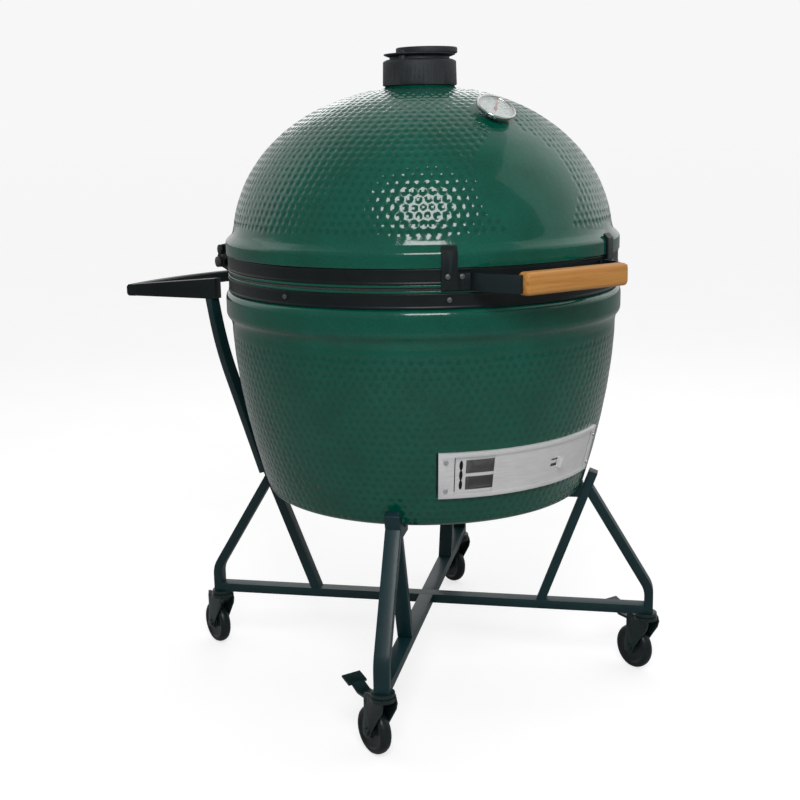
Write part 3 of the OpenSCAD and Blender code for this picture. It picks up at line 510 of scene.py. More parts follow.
class Cups:
    """Round cups pressed into a surface of revolution, in close-packed rows with a little scatter."""

    def __init__(self, outline, low, high, seed, keep, loose=0.07):
        rng = np.random.default_rng(seed)
        self.low = low + ROW_PITCH * 0.55
        rows = int((high - self.low - ROW_PITCH * 0.5) / ROW_PITCH) + 1
        row_s = self.low + ROW_PITCH * np.arange(rows)
        radius = outline.at(row_s)[0]
        self.count = np.maximum(6, np.round(2 * math.pi * radius / CUP_PITCH)).astype(int)
        most = self.count.max()
        index = np.arange(most)[None, :]
        scatter = rng.uniform(-1, 1, (2, rows, most)) * loose * CUP_PITCH
        phase = (np.arange(rows) % 2) * 0.5 + rng.uniform(-0.05, 0.05, rows)
        self.phase = phase + self.count * NEAT_AZ / (2 * math.pi)
        self.angle = (index + self.phase[:, None]) * 2 * math.pi / self.count[:, None]
        self.angle = self.angle + scatter[0] / radius[:, None]
        self.s = row_s[:, None] + scatter[1]
        self.radius = CUP_R * rng.uniform(0.94, 1.04, (rows, most))
        self.alive = keep(self.angle, outline.at(self.s)[1], outline.at(self.s)[0])
        self.rows = rows

    def nearest(self, s, angle, r):
        """For each point, the nearest cup's centre, its radius, and the distance in cup radii."""
        best = np.full(s.shape, 9.0)
        found = [np.zeros(s.shape) for _ in range(3)]
        middle = np.round((s - self.low) / ROW_PITCH).astype(int)
        for step in (-1, 0, 1):
            row = np.clip(middle + step, 0, self.rows - 1)
            count = self.count[row]
            j = np.round(angle * count / (2 * math.pi) - self.phase[row]).astype(int) % count
            ca, cs, cr = self.angle[row, j], self.s[row, j], self.radius[row, j]
            turn = (angle - ca + math.pi) % (2 * math.pi) - math.pi
            far = np.hypot(s - cs, turn * r) / cr
            far = np.where(self.alive[row, j], far, 9.0)
            closer = far < best
            best = np.where(closer, far, best)
            for k, value in enumerate((ca, cs, cr)):
                found[k] = np.where(closer, value, found[k])
        return best, found


def ring_count(r):
    """How many columns a ring of that radius has; each step halves them."""
    return COLUMNS if r > 0.22 else COLUMNS // 2 if r > 0.11 else COLUMNS // 4


def stitch(a0, na, b0, nb):
    """Faces between two rings, of which one may have 2 or 4 times the other's columns."""
    if na == nb:
        return [(a0 + j, a0 + (j + 1) % na, b0 + (j + 1) % nb, b0 + j) for j in range(na)]
    many, few = max(na, nb), min(na, nb)
    k = many // few
    m0, f0 = (a0, b0) if na > nb else (b0, a0)
    faces = []
    for j in range(few):
        here, there = f0 + j, f0 + (j + 1) % few
        for i in range(k):
            m, n = m0 + k * j + i, m0 + (k * j + i + 1) % many
            faces.append((m, n, here if i < k / 2 else there))
        faces.append((here, m0 + k * j + k // 2, there))
    return faces if na > nb else [f[::-1] for f in faces]


def ceramic(name, node, outline, rows, cups, counts, inner_from, openings=()):
    """A ceramic shell. rows are lengths along the outline; openings are holes in the outer grid."""
    verts, depth, starts = [], [], []
    total = 0
    for s, n in zip(rows, counts):
        angle = 2 * math.pi * np.arange(n) / n
        s = np.full(n, s)
        r, z = outline.at(s)
        cup = np.zeros(n)
        if cups["low"] <= s[0] <= cups["high"]:
            far, (ca, cs, cr) = cups["cups"].nearest(s, angle, r)
            fade = cups["fade"](angle, z)
            near = (far < 2) & (np.abs(far - 1) * cr < 0.48 * GRID) & (fade > 0.99)
            pull = np.where(near, 1 / np.maximum(far, 0.2), 1.0)
            turn = (angle - ca + math.pi) % (2 * math.pi) - math.pi
            angle = np.where(near, ca + turn * pull, angle)
            s = np.where(near, cs + (s - cs) * pull, s)
            cup = np.where(far < 1, 1 - far * far, 0) * fade
            r, z = outline.at(s)
            nr, nz = outline.normal(s)
            swell = 0.22 * MM * np.sin(5 * angle + 40 * s) * np.sin(9 * angle - 55 * s)
            out = swell * fade - cups["deep"] * cup * (cr / CUP_R)
            r, z = r + nr * out, z + nz * out
        verts.append(np.stack([r * np.sin(angle), EGG_Y - r * np.cos(angle), z], 1))
        depth.append(cup)
        starts.append(total)
        total += n
    faces, inner = [], []
    for i in range(len(rows) - 1):
        made = stitch(starts[i], counts[i], starts[i + 1], counts[i + 1])
        for hole in openings:
            if hole["rows"][0] <= i < hole["rows"][1]:
                made = [f for j, f in enumerate(made) if not hole["skip"](j)]
        faces += made
        inner += [int(i >= inner_from)] * len(made)
    return np.concatenate(verts), np.concatenate(depth), faces, inner, starts


def finish_ceramic(name, node, verts, depth, faces, inner):
    mesh = mesh_from(name, verts, faces)
    cup = mesh.attributes.new("cup", "FLOAT", "POINT")
    cup.data.foreach_set("value", np.asarray(depth, np.float32))
    mesh.polygons.foreach_set("material_index", np.asarray(inner, np.int32))
    mesh.materials.append(MAT["green_glaze"])
    mesh.materials.append(MAT["fire_clay"])
    # the third slot holds the near-black painted shade of the door's recess
    mesh.materials.append(RECESS_SHADE)
    return piece(name, mesh, node)


def in_rows(low, high, step):
    """Evenly spaced lengths from low up to, and not including, high."""
    return list(np.linspace(low, high, max(2, round((high - low) / step)) + 1)[:-1])


DOME_A, DOME_B, DOME_N = 416 * MM, 338 * MM, 2.1
DOME_Z0 = SEAM + 51 * MM
DOME_WALL = 20 * MM
NECK_R, CHIMNEY_R = 74 * MM, 55 * MM
RIM_R, LIP_R, SEAT_R = 397 * MM, 428 * MM, 425 * MM
DOME_FLANGE_R, BASE_FLANGE_R = 431 * MM, 435 * MM


def dome_curve(a, b, t0, t1, steps=160):
    """Points of the dome's rounded outline between two angles."""
    made = []
    for i in range(steps + 1):
        t = t0 + (t1 - t0) * i / steps
        made.append((a * math.cos(t) ** (2 / DOME_N), DOME_Z0 + b * math.sin(t) ** (2 / DOME_N)))
    return made


def panel_field(angle, z, grow=1.0):
    """Below 1 inside the smooth oval panel on the dome's front."""
    turn = (angle + math.pi) % (2 * math.pi) - math.pi
    return (turn / math.radians(17.5 * grow)) ** 2 + ((z - (SEAM + 195 * MM)) / (103 * MM * grow)) ** 2


def gauge_field(angle, z, r):
    """The distance in metres from the thermometer's middle on the dome."""
    gx, gy, gz = JOINT["needle_turn"]["pos_m"]
    x, y = r * np.sin(angle), EGG_Y - r * np.cos(angle)
    return np.sqrt((x - gx) ** 2 + (y - gy) ** 2 + (z - gz) ** 2)


def make_dome():
    low_z, neck_top = SEAM + 92 * MM, SEAM + 412 * MM
    rim = SEAM + 3 * MM
    t_low = math.asin(((low_z - DOME_Z0) / DOME_B) ** (DOME_N / 2))
    t_neck = math.acos((NECK_R / DOME_A) ** (DOME_N / 2))
    flange = rounded([(RIM_R, rim), (LIP_R, rim), (LIP_R, rim + 5 * MM), (SEAT_R, rim + 5.5 * MM),
                      (SEAT_R, SEAM + 39 * MM), (DOME_FLANGE_R, SEAM + 39.6 * MM),
                      (DOME_FLANGE_R, SEAM + 69 * MM), (DOME_FLANGE_R - 13 * MM, SEAM + 81 * MM)],
                     [0, 1.4 * MM, 1.2 * MM, 0.8 * MM, 0.8 * MM, 2.2 * MM, 5 * MM, 0])
    body = dome_curve(DOME_A, DOME_B, t_low, t_neck)
    blend_up = rounded([flange[-1], (DOME_FLANGE_R - 15.5 * MM, low_z - 6 * MM), body[2]], 6 * MM)[1:-1]
    neck = rounded([body[-3], (NECK_R, body[-1][1] + 1 * MM), (NECK_R, neck_top), (CHIMNEY_R, neck_top)],
                   [0, 12 * MM, 2 * MM, 0], 6)[1:]
    a, b = DOME_A - DOME_WALL, DOME_B - DOME_WALL
    t_in = math.asin(((low_z - 14 * MM - DOME_Z0) / b) ** (DOME_N / 2))
    t_out = math.acos((CHIMNEY_R / a) ** (DOME_N / 2))
    inside = dome_curve(a, b, t_out, t_in, 60) + [(RIM_R, SEAM + 60 * MM), (RIM_R, rim)]
    outline = Outline(flange + blend_up + body[2:-2] + neck + inside)
    low = outline.length[len(flange) + len(blend_up)]
    high = outline.length[len(flange) + len(blend_up) + len(body) - 5]
    top = len(flange) + len(blend_up) + len(body) - 4 + len(neck)
    rows = list(outline.length[: len(flange) + len(blend_up)]) + in_rows(low, high, GRID)
    rows += list(outline.length[top - len(neck):top])
    inner_from = len(rows)
    rows += list(outline.length[top:])
    counts = [ring_count(outline.at(s)[0]) for s in rows]
    counts = [n if i < inner_from else min(n, COLUMNS // 4) for i, n in enumerate(counts)]
    counts[-1] = counts[-2]

    def keep(angle, z, r):
        clear = panel_field(angle, z, 1.06) > 1
        return clear & (gauge_field(angle, z, r) > 51 * MM) & (z < SEAM + 388 * MM)

    cups = {"cups": Cups(outline, low, high, 11, keep), "low": low, "high": high, "deep": CUP_DEPTH,
            "fade": lambda angle, z: np.ones_like(angle)}
    verts, depth, faces, inner, starts = ceramic("dome", "dome_shell", outline, rows, cups, counts,
                                                 inner_from)
    first, last = starts[0], starts[-1]
    faces += stitch(last, counts[-1], first, counts[0])
    inner += [1] * (len(faces) - len(inner))
    return finish_ceramic("dome_glazed", "dome_shell", verts, depth, faces, inner)


BOW_TOP = SEAM - 117 * MM
BASE_BOTTOM = BASE_LO.z
BASE_WALL = 22 * MM
DOOR_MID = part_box("draft_frame")[0].z * 0.5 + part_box("draft_frame")[1].z * 0.5
DOOR_HALF_DEG = 31.0
DOOR_H = 98 * MM
PORT_AZ = (-21.0, 13.0)
PORT_HALF = 31 * MM


def base_r(z):
    """The base's outer radius at a height below its flange."""
    fall = max(0.0, (BOW_TOP - z) / MM)
    return BASE_FLANGE_R - 11.5 * MM - 0.00415 * MM * fall ** 1.64


CONE_A = math.atan((base_r(DOOR_MID + DOOR_H / 2) - base_r(DOOR_MID - DOOR_H / 2)) / DOOR_H)
CONE_R = base_r(DOOR_MID) - 1.6 * MM


def on_cone(az, n, t):
    """A point n out from the draft door's seat and t up it, at az degrees right of the front."""
    r = CONE_R + t * math.sin(CONE_A) + n * math.cos(CONE_A)
    z = DOOR_MID + t * math.cos(CONE_A) - n * math.sin(CONE_A)
    a = math.radians(az)
    return Vector((r * math.sin(a), EGG_Y - r * math.cos(a), z))


def make_base():
    corner_r, corner_a, corner_b = 316 * MM, 42 * MM, 20.5 * MM
    corner_z = BASE_BOTTOM + corner_b
    floor_z = BASE_BOTTOM + 26 * MM
    rim = SEAM - 3 * MM
    under = [(20 * MM, BASE_BOTTOM)]
    under += [(corner_r + corner_a * math.sin(t), corner_z - corner_b * math.cos(t))
              for t in np.linspace(0, math.pi / 2, 14)]
    heights = np.linspace(corner_z, BOW_TOP, 140)[1:]
    body = [(base_r(z), z) for z in heights]
    f = BASE_FLANGE_R
    top = rounded([body[-1], (f - 9.5 * MM, SEAM - 102 * MM), (f, SEAM - 91 * MM), (f, SEAM - 50 * MM),
                   (f - 3 * MM, SEAM - 43 * MM), (SEAT_R, SEAM - 39 * MM), (SEAT_R, rim - 5.5 * MM),
                   (LIP_R, rim - 5 * MM), (LIP_R, rim), (RIM_R, rim)],
                  [0, 8 * MM, 8 * MM, 8 * MM, 3 * MM, 1 * MM, 0.8 * MM, 1.2 * MM, 1.4 * MM, 0])[1:]
    port_z = [DOOR_MID - PORT_HALF * math.cos(CONE_A), DOOR_MID + PORT_HALF * math.cos(CONE_A)]
    port_rows = list(np.linspace(port_z[0], port_z[1], 23))
    inner_z = list(np.linspace(BOW_TOP, port_z[1], 14)[:-1]) + port_rows[::-1]
    inner_z += list(np.linspace(port_z[0], floor_z + 26 * MM, 4)[1:])
    inside = [(RIM_R, BOW_TOP + 16 * MM)] + [(base_r(z) - BASE_WALL, z) for z in inner_z]
    inside += [(corner_r, floor_z), (20 * MM, floor_z)]
    outline = Outline(under + body + top + inside)
    low, high = outline.length[len(under) - 5], outline.length[len(under) + len(body) - 1]
    hole_z = [DOOR_MID - DOOR_H / 2, port_z[0], port_z[1], DOOR_MID + DOOR_H / 2]
    marks = [outline.s_at_height(z, low, high) for z in hole_z]
    edges = [low, *marks, high]
    rows = list(outline.length[: len(under) - 5])
    index = []
    for k in range(5):
        index.append(len(rows))
        if k == 2:
            rows += [outline.s_at_height(z, low, high) for z in port_rows[:-1]]
        else:
            rows += in_rows(edges[k], edges[k + 1], GRID)
    rows += list(outline.length[len(under) + len(body) - 1: len(under) + len(body) + len(top)])
    inner_from = len(rows)
    rows += list(outline.length[len(under) + len(body) + len(top):])
    counts = []
    first_port = inner_from + 1 + 13
    for i, s in enumerate(rows):
        n = ring_count(outline.at(s)[0])
        if i >= inner_from and not first_port <= i < first_port + 23:
            n = COLUMNS // 4
        counts.append(n)

    def column(az):
        return round(az / 360 * COLUMNS)

    hole = (column(-DOOR_HALF_DEG - 0.35), column(DOOR_HALF_DEG + 0.35))
    port = (column(PORT_AZ[0]), column(PORT_AZ[1]))

    def skip(cols):
        return lambda j: (j - cols[0]) % COLUMNS < cols[1] - cols[0]

    openings = [{"rows": (index[1], index[4]), "skip": skip(hole)},
                {"rows": (first_port, first_port + 22), "skip": skip(port)}]

    def fade(angle, z):
        turn = np.degrees((angle + math.pi) % (2 * math.pi) - math.pi)
        aside = np.maximum(np.abs(turn) - DOOR_HALF_DEG - 0.3, 0) * math.radians(1) * CONE_R
        over = np.maximum(np.abs(z - DOOR_MID) - DOOR_H / 2, 0)
        return np.clip(np.hypot(aside, over) / (4 * MM), 0, 1)

    cups = {"cups": Cups(outline, low, high, 23, lambda angle, z, r: z > BASE_BOTTOM + 14 * MM, 0.12),
            "low": low, "high": high, "fade": fade, "deep": 0.7 * CUP_DEPTH}
    verts, depth, faces, inner, starts = ceramic("base", "base_shell", outline, rows, cups, counts,
                                                 inner_from, openings)
    faces.append(tuple(starts[0] + j for j in range(counts[0] - 1, -1, -1)))
    faces.append(tuple(starts[-1] + j for j in range(counts[-1])))
    inner += [0, 1]
    recess, more, tags = door_recess(verts, rows, starts, index, hole, port, outline, first_port)
    faces += more
    inner += tags
    verts = np.concatenate([verts, recess])
    depth = np.concatenate([depth, np.zeros(len(recess))])
    return finish_ceramic("base_glazed", "base_shell", verts, depth, faces, inner)


def door_recess(verts, rows, starts, index, hole, port, outline, first_port):
    """The seat behind the draft door's frame, its edges, and the walls of the air port; the seat is coloured with
    near-black painted shade.
    """
    start = len(verts)
    row_ids = list(range(index[1], index[4] + 1))
    col_ids = list(range(hole[0], hole[1] + 1))
    new = []
    for i in row_ids:
        z = float(outline.at(rows[i])[1])
        r = CONE_R - 0.3 * MM + (z - DOOR_MID) * math.tan(CONE_A)
        for c in col_ids:
            a = 2 * math.pi * c / COLUMNS
            new.append((r * math.sin(a), EGG_Y - r * math.cos(a), z))
    wide = len(col_ids)

    def seat(i, c):
        return start + (i - index[1]) * wide + (c - hole[0])

    def outer(i, c):
        return starts[i] + c % COLUMNS

    def inner_wall(i, c):
        """The inner surface's vertex level with an outer port row; its rows run downward."""
        return starts[first_port + 22 - (i - index[2])] + c % COLUMNS

    faces = []
    for i in row_ids[:-1]:
        for c in col_ids[:-1]:
            if not (index[2] <= i < index[3] and port[0] <= c < port[1]):
                faces.append((seat(i, c), seat(i, c + 1), seat(i + 1, c + 1), seat(i + 1, c)))
    # material 2: the seat gets the near-black painted shade of the recess
    tags = [2] * len(faces)
    low, high = index[1], index[4]
    for c in col_ids[:-1]:
        faces.append((outer(low, c), outer(low, c + 1), seat(low, c + 1), seat(low, c)))
        faces.append((seat(high, c), seat(high, c + 1), outer(high, c + 1), outer(high, c)))
    for i in row_ids[:-1]:
        left, right = hole
        faces.append((outer(i, left), seat(i, left), seat(i + 1, left), outer(i + 1, left)))
        faces.append((seat(i, right), outer(i, right), outer(i + 1, right), seat(i + 1, right)))
    tags += [0] * (len(faces) - len(tags))
    low, high = index[2], index[3]
    for c in range(port[0], port[1]):
        faces.append((seat(low, c), seat(low, c + 1), inner_wall(low, c + 1), inner_wall(low, c)))
        faces.append((inner_wall(high, c), inner_wall(high, c + 1), seat(high, c + 1), seat(high, c)))
    for i in range(low, high):
        left, right = port
        faces.append((seat(i, left), inner_wall(i, left), inner_wall(i + 1, left), seat(i + 1, left)))
        faces.append((inner_wall(i, right), seat(i, right), seat(i + 1, right), inner_wall(i + 1, right)))
    tags += [1] * (len(faces) - len(tags))
    return np.array(new), faces, tags


make_dome()
make_base()


# ---------------------------------------------------------------- iron, steel and felt rings
def rolled_band(node):
    """A flat steel strap round the egg, with both of its edges rolled outwards."""
    lo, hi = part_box(node)
    r, t, bead = hi.x, 3 * MM, 1.5 * MM
    low, high = lo.z, hi.z
    outer = rounded([(r - t, low), (r + 0.9 * MM, low), (r + 0.9 * MM, low + 3.4 * MM), (r, low + 5 * MM),
                     (r, high - 5 * MM), (r + 0.9 * MM, high - 3.4 * MM), (r + 0.9 * MM, high),
                     (r - t, high)], [0, bead, bead, bead, bead, bead, bead, 0])
    turned(node + "_rolled", node, outer, 240)


def felt_ring(node):
    lo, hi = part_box(node)
    r, inner = hi.x, RIM_R + 2 * MM
    half = (hi.z - lo.z) * 0.42
    turned(node + "_felt", node, rounded([(r, lo.z), (r, hi.z), (inner, hi.z), (inner, lo.z)],
                                         half, closed=True), 240)


rolled_band("base_band")
rolled_band("dome_band")
felt_ring("base_gasket")
felt_ring("dome_gasket")


# ---------------------------------------------------------------- hinge springs
def springs():
    """Two coil springs wound on the hinge pin."""
    lo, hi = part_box("hinge_springs")
    mid_y, mid_z = (lo.y + hi.y) / 2, (lo.z + hi.z) / 2
    wire = 2.3 * MM
    coil_r = (hi.z - lo.z) / 2 - wire
    inner = 22 * MM
    coils = 37
    steps = coils * 18
    start, end = inner + wire, hi.x - wire
    parts = []
    for side in (-1, 1):
        path = []
        for i in range(steps + 1):
            t = i / steps
            a = 2 * math.pi * coils * t
            along = side * (start + (end - start) * t)
            path.append((along, mid_y + coil_r * math.cos(a), mid_z + coil_r * math.sin(a)))
        parts.append(tube(path, wire, 8))
    piece("springs_coiled", mesh_from("springs_coiled", *merged(parts)), "hinge_springs")


springs()


# ---------------------------------------------------------------- wooden bar
def wooden_bar():
    """The oak grip: a bar with generous round edges and rounded ends."""
    lo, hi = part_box("wood_handle")
    half = (hi.x - lo.x) / 2
    mid = (lo + hi) / 2
    dy, dz = (hi.y - lo.y) / 2, (hi.z - lo.z) / 2
    section = rounded([(-dy, -dz), (dy, -dz), (dy, dz), (-dy, dz)], 11 * MM, 7, closed=True)
    stations = []
    edge = 8 * MM
    for i in range(7):
        a = math.pi / 2 * i / 6
        stations.append((-half + edge * (1 - math.cos(a)), edge * (1 - math.sin(a))))
    stations += [(-half * 0.5, 0), (0, 0), (half * 0.5, 0)]
    stations += [(-x, inset) for x, inset in stations[6::-1]]
    verts, faces = [], []
    n = len(section)
    for x, inset in stations:
        for y, z in section:
            verts.append((mid.x + x, mid.y + y * (1 - inset / dy), mid.z + z * (1 - inset / dz)))
    for i in range(len(stations) - 1):
        for j in range(n):
            m = (j + 1) % n
            faces.append((i * n + j, i * n + m, (i + 1) * n + m, (i + 1) * n + j))
    faces.append(tuple(range(n - 1, -1, -1)))
    faces.append(tuple((len(stations) - 1) * n + j for j in range(n)))
    mesh = mesh_from("bar_oak", verts, faces)
    bm = bmesh.new()
    bm.from_mesh(mesh)
    bmesh.ops.recalc_face_normals(bm, faces=bm.faces)
    bm.to_mesh(mesh)
    bm.free()
    piece("bar_oak", mesh, "wood_handle")


wooden_bar()


# ---------------------------------------------------------------- thermometer
GAUGE = JOINT["needle_turn"]
GAUGE_TURN = Vector(GAUGE["axis"]).to_track_quat("Z", "Y").to_matrix().to_4x4()
GAUGE_AT = Matrix.Translation(GAUGE["pos_m"]) @ GAUGE_TURN
GAUGE_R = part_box("gauge_case")[1].x


def flat_text(words, size):
    """Flat outlined figures as vertices and faces, centred on the origin."""
    curve = bpy.data.curves.new("figures", "FONT")
    curve.body, curve.size = words, size
    curve.align_x, curve.align_y = "CENTER", "CENTER"
    obj = bpy.data.objects.new("figures", curve)
    mesh = obj.to_mesh()
    made = [v.co.copy() for v in mesh.vertices], [tuple(p.vertices) for p in mesh.polygons]
    obj.to_mesh_clear()
    bpy.data.objects.remove(obj)
    bpy.data.curves.remove(curve)
    return made


def gauge_part(name, node, points, cuts, sides=128):
    """A turned part of the thermometer; its outline and corner cuts are in millimetres."""
    points = [(radius * MM, height * MM) for radius, height in points]
    cuts = [c * MM for c in cuts] if isinstance(cuts, list) else cuts * MM
    turned(name, node, rounded(points, cuts), sides, GAUGE_AT)


def gauge():
    r = GAUGE_R
    rim, hollow = r / MM, r / MM - 5
    hub = 0.1
    low, top, plate, neck_r = -9.5, 1.4, -7.1, 13
    gauge_part("gauge_bezel", "gauge_case",
               [(hub, low), (rim - 4, low), (rim - 1.5, low + 3), (rim - 1.5, -4.6), (rim, -3.4),
                (rim, top - 1), (rim - 2.4, top), (hollow, top - 1.6), (hollow, plate), (hub, plate)],
               [0, 1.5, 1.2, 0.8, 0.9, 1.4, 1.2, 0.8, 0.5, 0])
    gauge_part("gauge_neck", "gauge_case",
               [(hub, -17.5), (neck_r, -17.5), (neck_r, -9.2), (hub, -9.2)], 0.6, 48)
    face_r = r - 5.2 * MM
    dish, bore = face_r / MM, 1.3
    gauge_part("gauge_plate", "gauge_dial",
               [(bore, -7.0), (dish, -7.0), (dish, -5.8), (dish - 1.6, -6.0), (bore, -6.0)], 0.15)
    level = -5.95 * MM
    parts = []
    sweep, start = 270.0, 225.0
    for i in range(55):
        a = math.radians(start - sweep * i / 54)
        major = i % 9 == 0
        middle = i % 9 in (3, 6)
        outer, inner = face_r - 3 * MM, face_r - (8 if major else 6.2 if middle else 5) * MM
        half = (0.55 if major else 0.3) * MM
        along, across = Vector((math.cos(a), math.sin(a), 0)), Vector((-math.sin(a), math.cos(a), 0))
        quad = [along * inner - across * half, along * outer - across * half,
                along * outer + across * half, along * inner + across * half]
        parts.append(([v + Vector((0, 0, level)) for v in quad], [(0, 1, 2, 3)]))
        if major:
            verts, faces = flat_text(str(50 + 50 * (i // 9)), 5.4 * MM)
            middle_at = along * (face_r - 12.5 * MM) + Vector((0, 0, level))
            parts.append(([v + middle_at for v in verts], faces))
    for radius in (face_r - 2.6 * MM, face_r - 17.5 * MM):
        ring = [Vector((math.cos(a) * (radius + w), math.sin(a) * (radius + w), level))
                for w in (0, 0.3 * MM) for a in np.linspace(math.radians(-45), math.radians(225), 61)]
        parts.append((ring, [(j, j + 61, j + 62, j + 1) for j in range(60)]))
    verts, faces = merged(parts)
    mesh = mesh_from("gauge_marks", [GAUGE_AT @ v for v in verts], faces, smooth=False)
    bm = bmesh.new()
    bm.from_mesh(mesh)
    for face in bm.faces:
        if face.normal.dot(Vector(GAUGE["axis"])) < 0:
            face.normal_flip()
    bm.to_mesh(mesh)
    bm.free()
    mesh.materials.append(DIAL_INK)
    piece("gauge_marks", mesh, "gauge_dial")
    glass = rim - 5.1
    gauge_part("gauge_pane", "gauge_lens",
               [(hub, -2.6), (glass, -2.6), (glass, -1.4), (glass * 0.5, -0.9), (hub, -0.8)], 0.2)


gauge()
refine("gauge_needle", 0.15 * MM, 1)
refine("gauge_probe", 0.5 * MM)


# ---------------------------------------------------------------- draft door: bent sheets on one cone
def cone_sheet(name, node, loops, n, thick, edge=0.18 * MM):
    """A sheet cut to flat loops of (degrees, height), bent round the cone n out from its seat."""
    arc = math.radians(1) * CONE_R
    curve = bpy.data.curves.new(name, "CURVE")
    curve.dimensions, curve.fill_mode = "2D", "BOTH"
    curve.extrude, curve.bevel_depth, curve.offset = thick / 2 - edge, edge, -edge
    curve.bevel_resolution = 1
    for loop in loops:
        spline = curve.splines.new("POLY")
        spline.points.add(len(loop) - 1)
        for point, (az, t) in zip(spline.points, loop):
            point.co = (az * arc, t, 0, 1)
        spline.use_cyclic_u = True
    flat = bpy.data.objects.new(name, curve)
    bm = bmesh.new()
    bm.from_mesh(flat.to_mesh())
    flat.to_mesh_clear()
    bpy.data.objects.remove(flat)
    bpy.data.curves.remove(curve)
    bmesh.ops.remove_doubles(bm, verts=bm.verts, dist=1e-6)
    low = min(v.co.x for v in bm.verts)
    high = max(v.co.x for v in bm.verts)
    for cut in np.arange(math.floor(low / arc), math.ceil(high / arc), 1.5):
        bmesh.ops.bisect_plane(bm, geom=bm.verts[:] + bm.edges[:] + bm.faces[:], dist=1e-7,
                               plane_co=(cut * arc, 0, 0), plane_no=(1, 0, 0))
    for v in bm.verts:
        v.co = on_cone(v.co.x / arc, n + thick / 2 + v.co.z, v.co.y)
    bmesh.ops.recalc_face_normals(bm, faces=bm.faces)
    mark_sharp(bm, 30)
    mesh = bpy.data.meshes.new(name)
    bm.to_mesh(mesh)
    bm.free()
    return piece(name, mesh, node)


def box_loop(az0, az1, t0, t1, corner=0.0):
    """A rectangle in degrees and metres, with its corners rounded."""
    arc = math.radians(1) * CONE_R
    points = [(az0 * arc, t0), (az1 * arc, t0), (az1 * arc, t1), (az0 * arc, t1)]
    if corner:
        points = rounded(points, corner, 4, closed=True)
    return [(x / arc, t) for x, t in points]


def lobed_slot(az, t0, lobes, length, width):
    """A slot made of lobes in a row, like finger notches."""
    arc = math.radians(1) * CONE_R
    steps = 14
    left, right = [], []
    for i in range(lobes * steps + 1):
        u = i / steps
        half = width * (0.34 + 0.66 * abs(math.sin(math.pi * u)) ** 0.7)
        if i in (0, lobes * steps):
            half = width * 0.12
        t = t0 + length * i / (lobes * steps)
        right.append((az + half / arc, t))
        left.append((az - half / arc, t))
    return right + left[::-1]


HALF_T = DOOR_H / 2 / math.cos(CONE_A)
PANEL_HALF = HALF_T - 5 * MM
SCREEN_AZ = (-26.0, 16.0)
DOOR_AZ = (-14.2, 27.8)
PULL_AZ = 8.3


WINDOW_AZ = [SCREEN_AZ[0] + 3.2 + i * 12.8 for i in range(3)]
WINDOW_SPAN = 8.8
WINDOW_MID, WINDOW_HALF = 18.5 * MM, 15 * MM
SCREEN_WIRE_R = 0.34 * MM
SHEET = 1.2 * MM


def draft_parts():
    windows = []
    for az in WINDOW_AZ:
        for side in (-1, 1):
            middle = side * WINDOW_MID
            low, high = middle - WINDOW_HALF, middle + WINDOW_HALF
            windows.append(box_loop(az, az + WINDOW_SPAN, low, high, 0.8 * MM))
    slot = lobed_slot(SCREEN_AZ[0] + 1.75, -33 * MM, 3, 66 * MM, 3.6 * MM)
    plate = box_loop(*SCREEN_AZ, -PANEL_HALF, PANEL_HALF, 2 * MM)
    cone_sheet("screen_plate", "draft_screen", [plate, *windows, slot], 1.6 * MM, SHEET)
    wires = []
    arc = math.radians(1) * CONE_R
    pitch = 2.1 * MM
    first, last = WINDOW_AZ[0] - 0.2, WINDOW_AZ[2] + WINDOW_SPAN + 0.2
    for side in (-1, 1):
        for t in np.arange(-15.5 * MM, 15.5 * MM, pitch):
            height = side * WINDOW_MID + t
            path = [on_cone(az, 2.4 * MM, height) for az in np.linspace(first, last, 30)]
            wires.append(tube(path, SCREEN_WIRE_R, 5))
    for az in np.arange(first, last, pitch / arc):
        wires.append(tube([on_cone(az, 2.05 * MM, t) for t in (-34 * MM, 34 * MM)], SCREEN_WIRE_R, 5))
    piece("screen_wires", mesh_from("screen_wires", *merged(wires)), "draft_screen", [WIRE])
    hole = box_loop(PULL_AZ - 1.4, PULL_AZ + 1.4, -9 * MM, 9 * MM, 0.8 * MM)
    plate = box_loop(*DOOR_AZ, -PANEL_HALF, PANEL_HALF, 2 * MM)
    cone_sheet("door_plate", "draft_door", [plate, hole], 3.9 * MM, SHEET)
    tab = []
    for n, az in ((3.9, 1.5), (12.5, 1.55), (14.6, 1.7), (15.3, 2.0), (15.5, 2.5), (14.3, 2.5), (14.1, 2.15),
                  (13.6, 1.85), (12.3, 1.73), (3.9, 1.68)):
        tab.append((n * MM, PULL_AZ + az))
    verts, faces = [], []
    levels = [-12 * MM, -11 * MM, 11 * MM, 12 * MM]
    for k, t in enumerate(levels):
        shrink = 0.25 * MM if k in (0, 3) else 0
        for n, az in tab:
            verts.append(on_cone(az, n - shrink, t))
    count = len(tab)
    for k in range(3):
        for j in range(count):
            m = (j + 1) % count
            faces.append((k * count + j, k * count + m, (k + 1) * count + m, (k + 1) * count + j))
    faces += [tuple(range(count - 1, -1, -1)), tuple(3 * count + j for j in range(count))]
    mesh = mesh_from("door_pull", verts, faces)
    bm = bmesh.new()
    bm.from_mesh(mesh)
    bmesh.ops.recalc_face_normals(bm, faces=bm.faces)
    mark_sharp(bm, 40)
    bm.to_mesh(mesh)
    bm.free()
    piece("door_pull", mesh, "draft_door")


draft_parts()


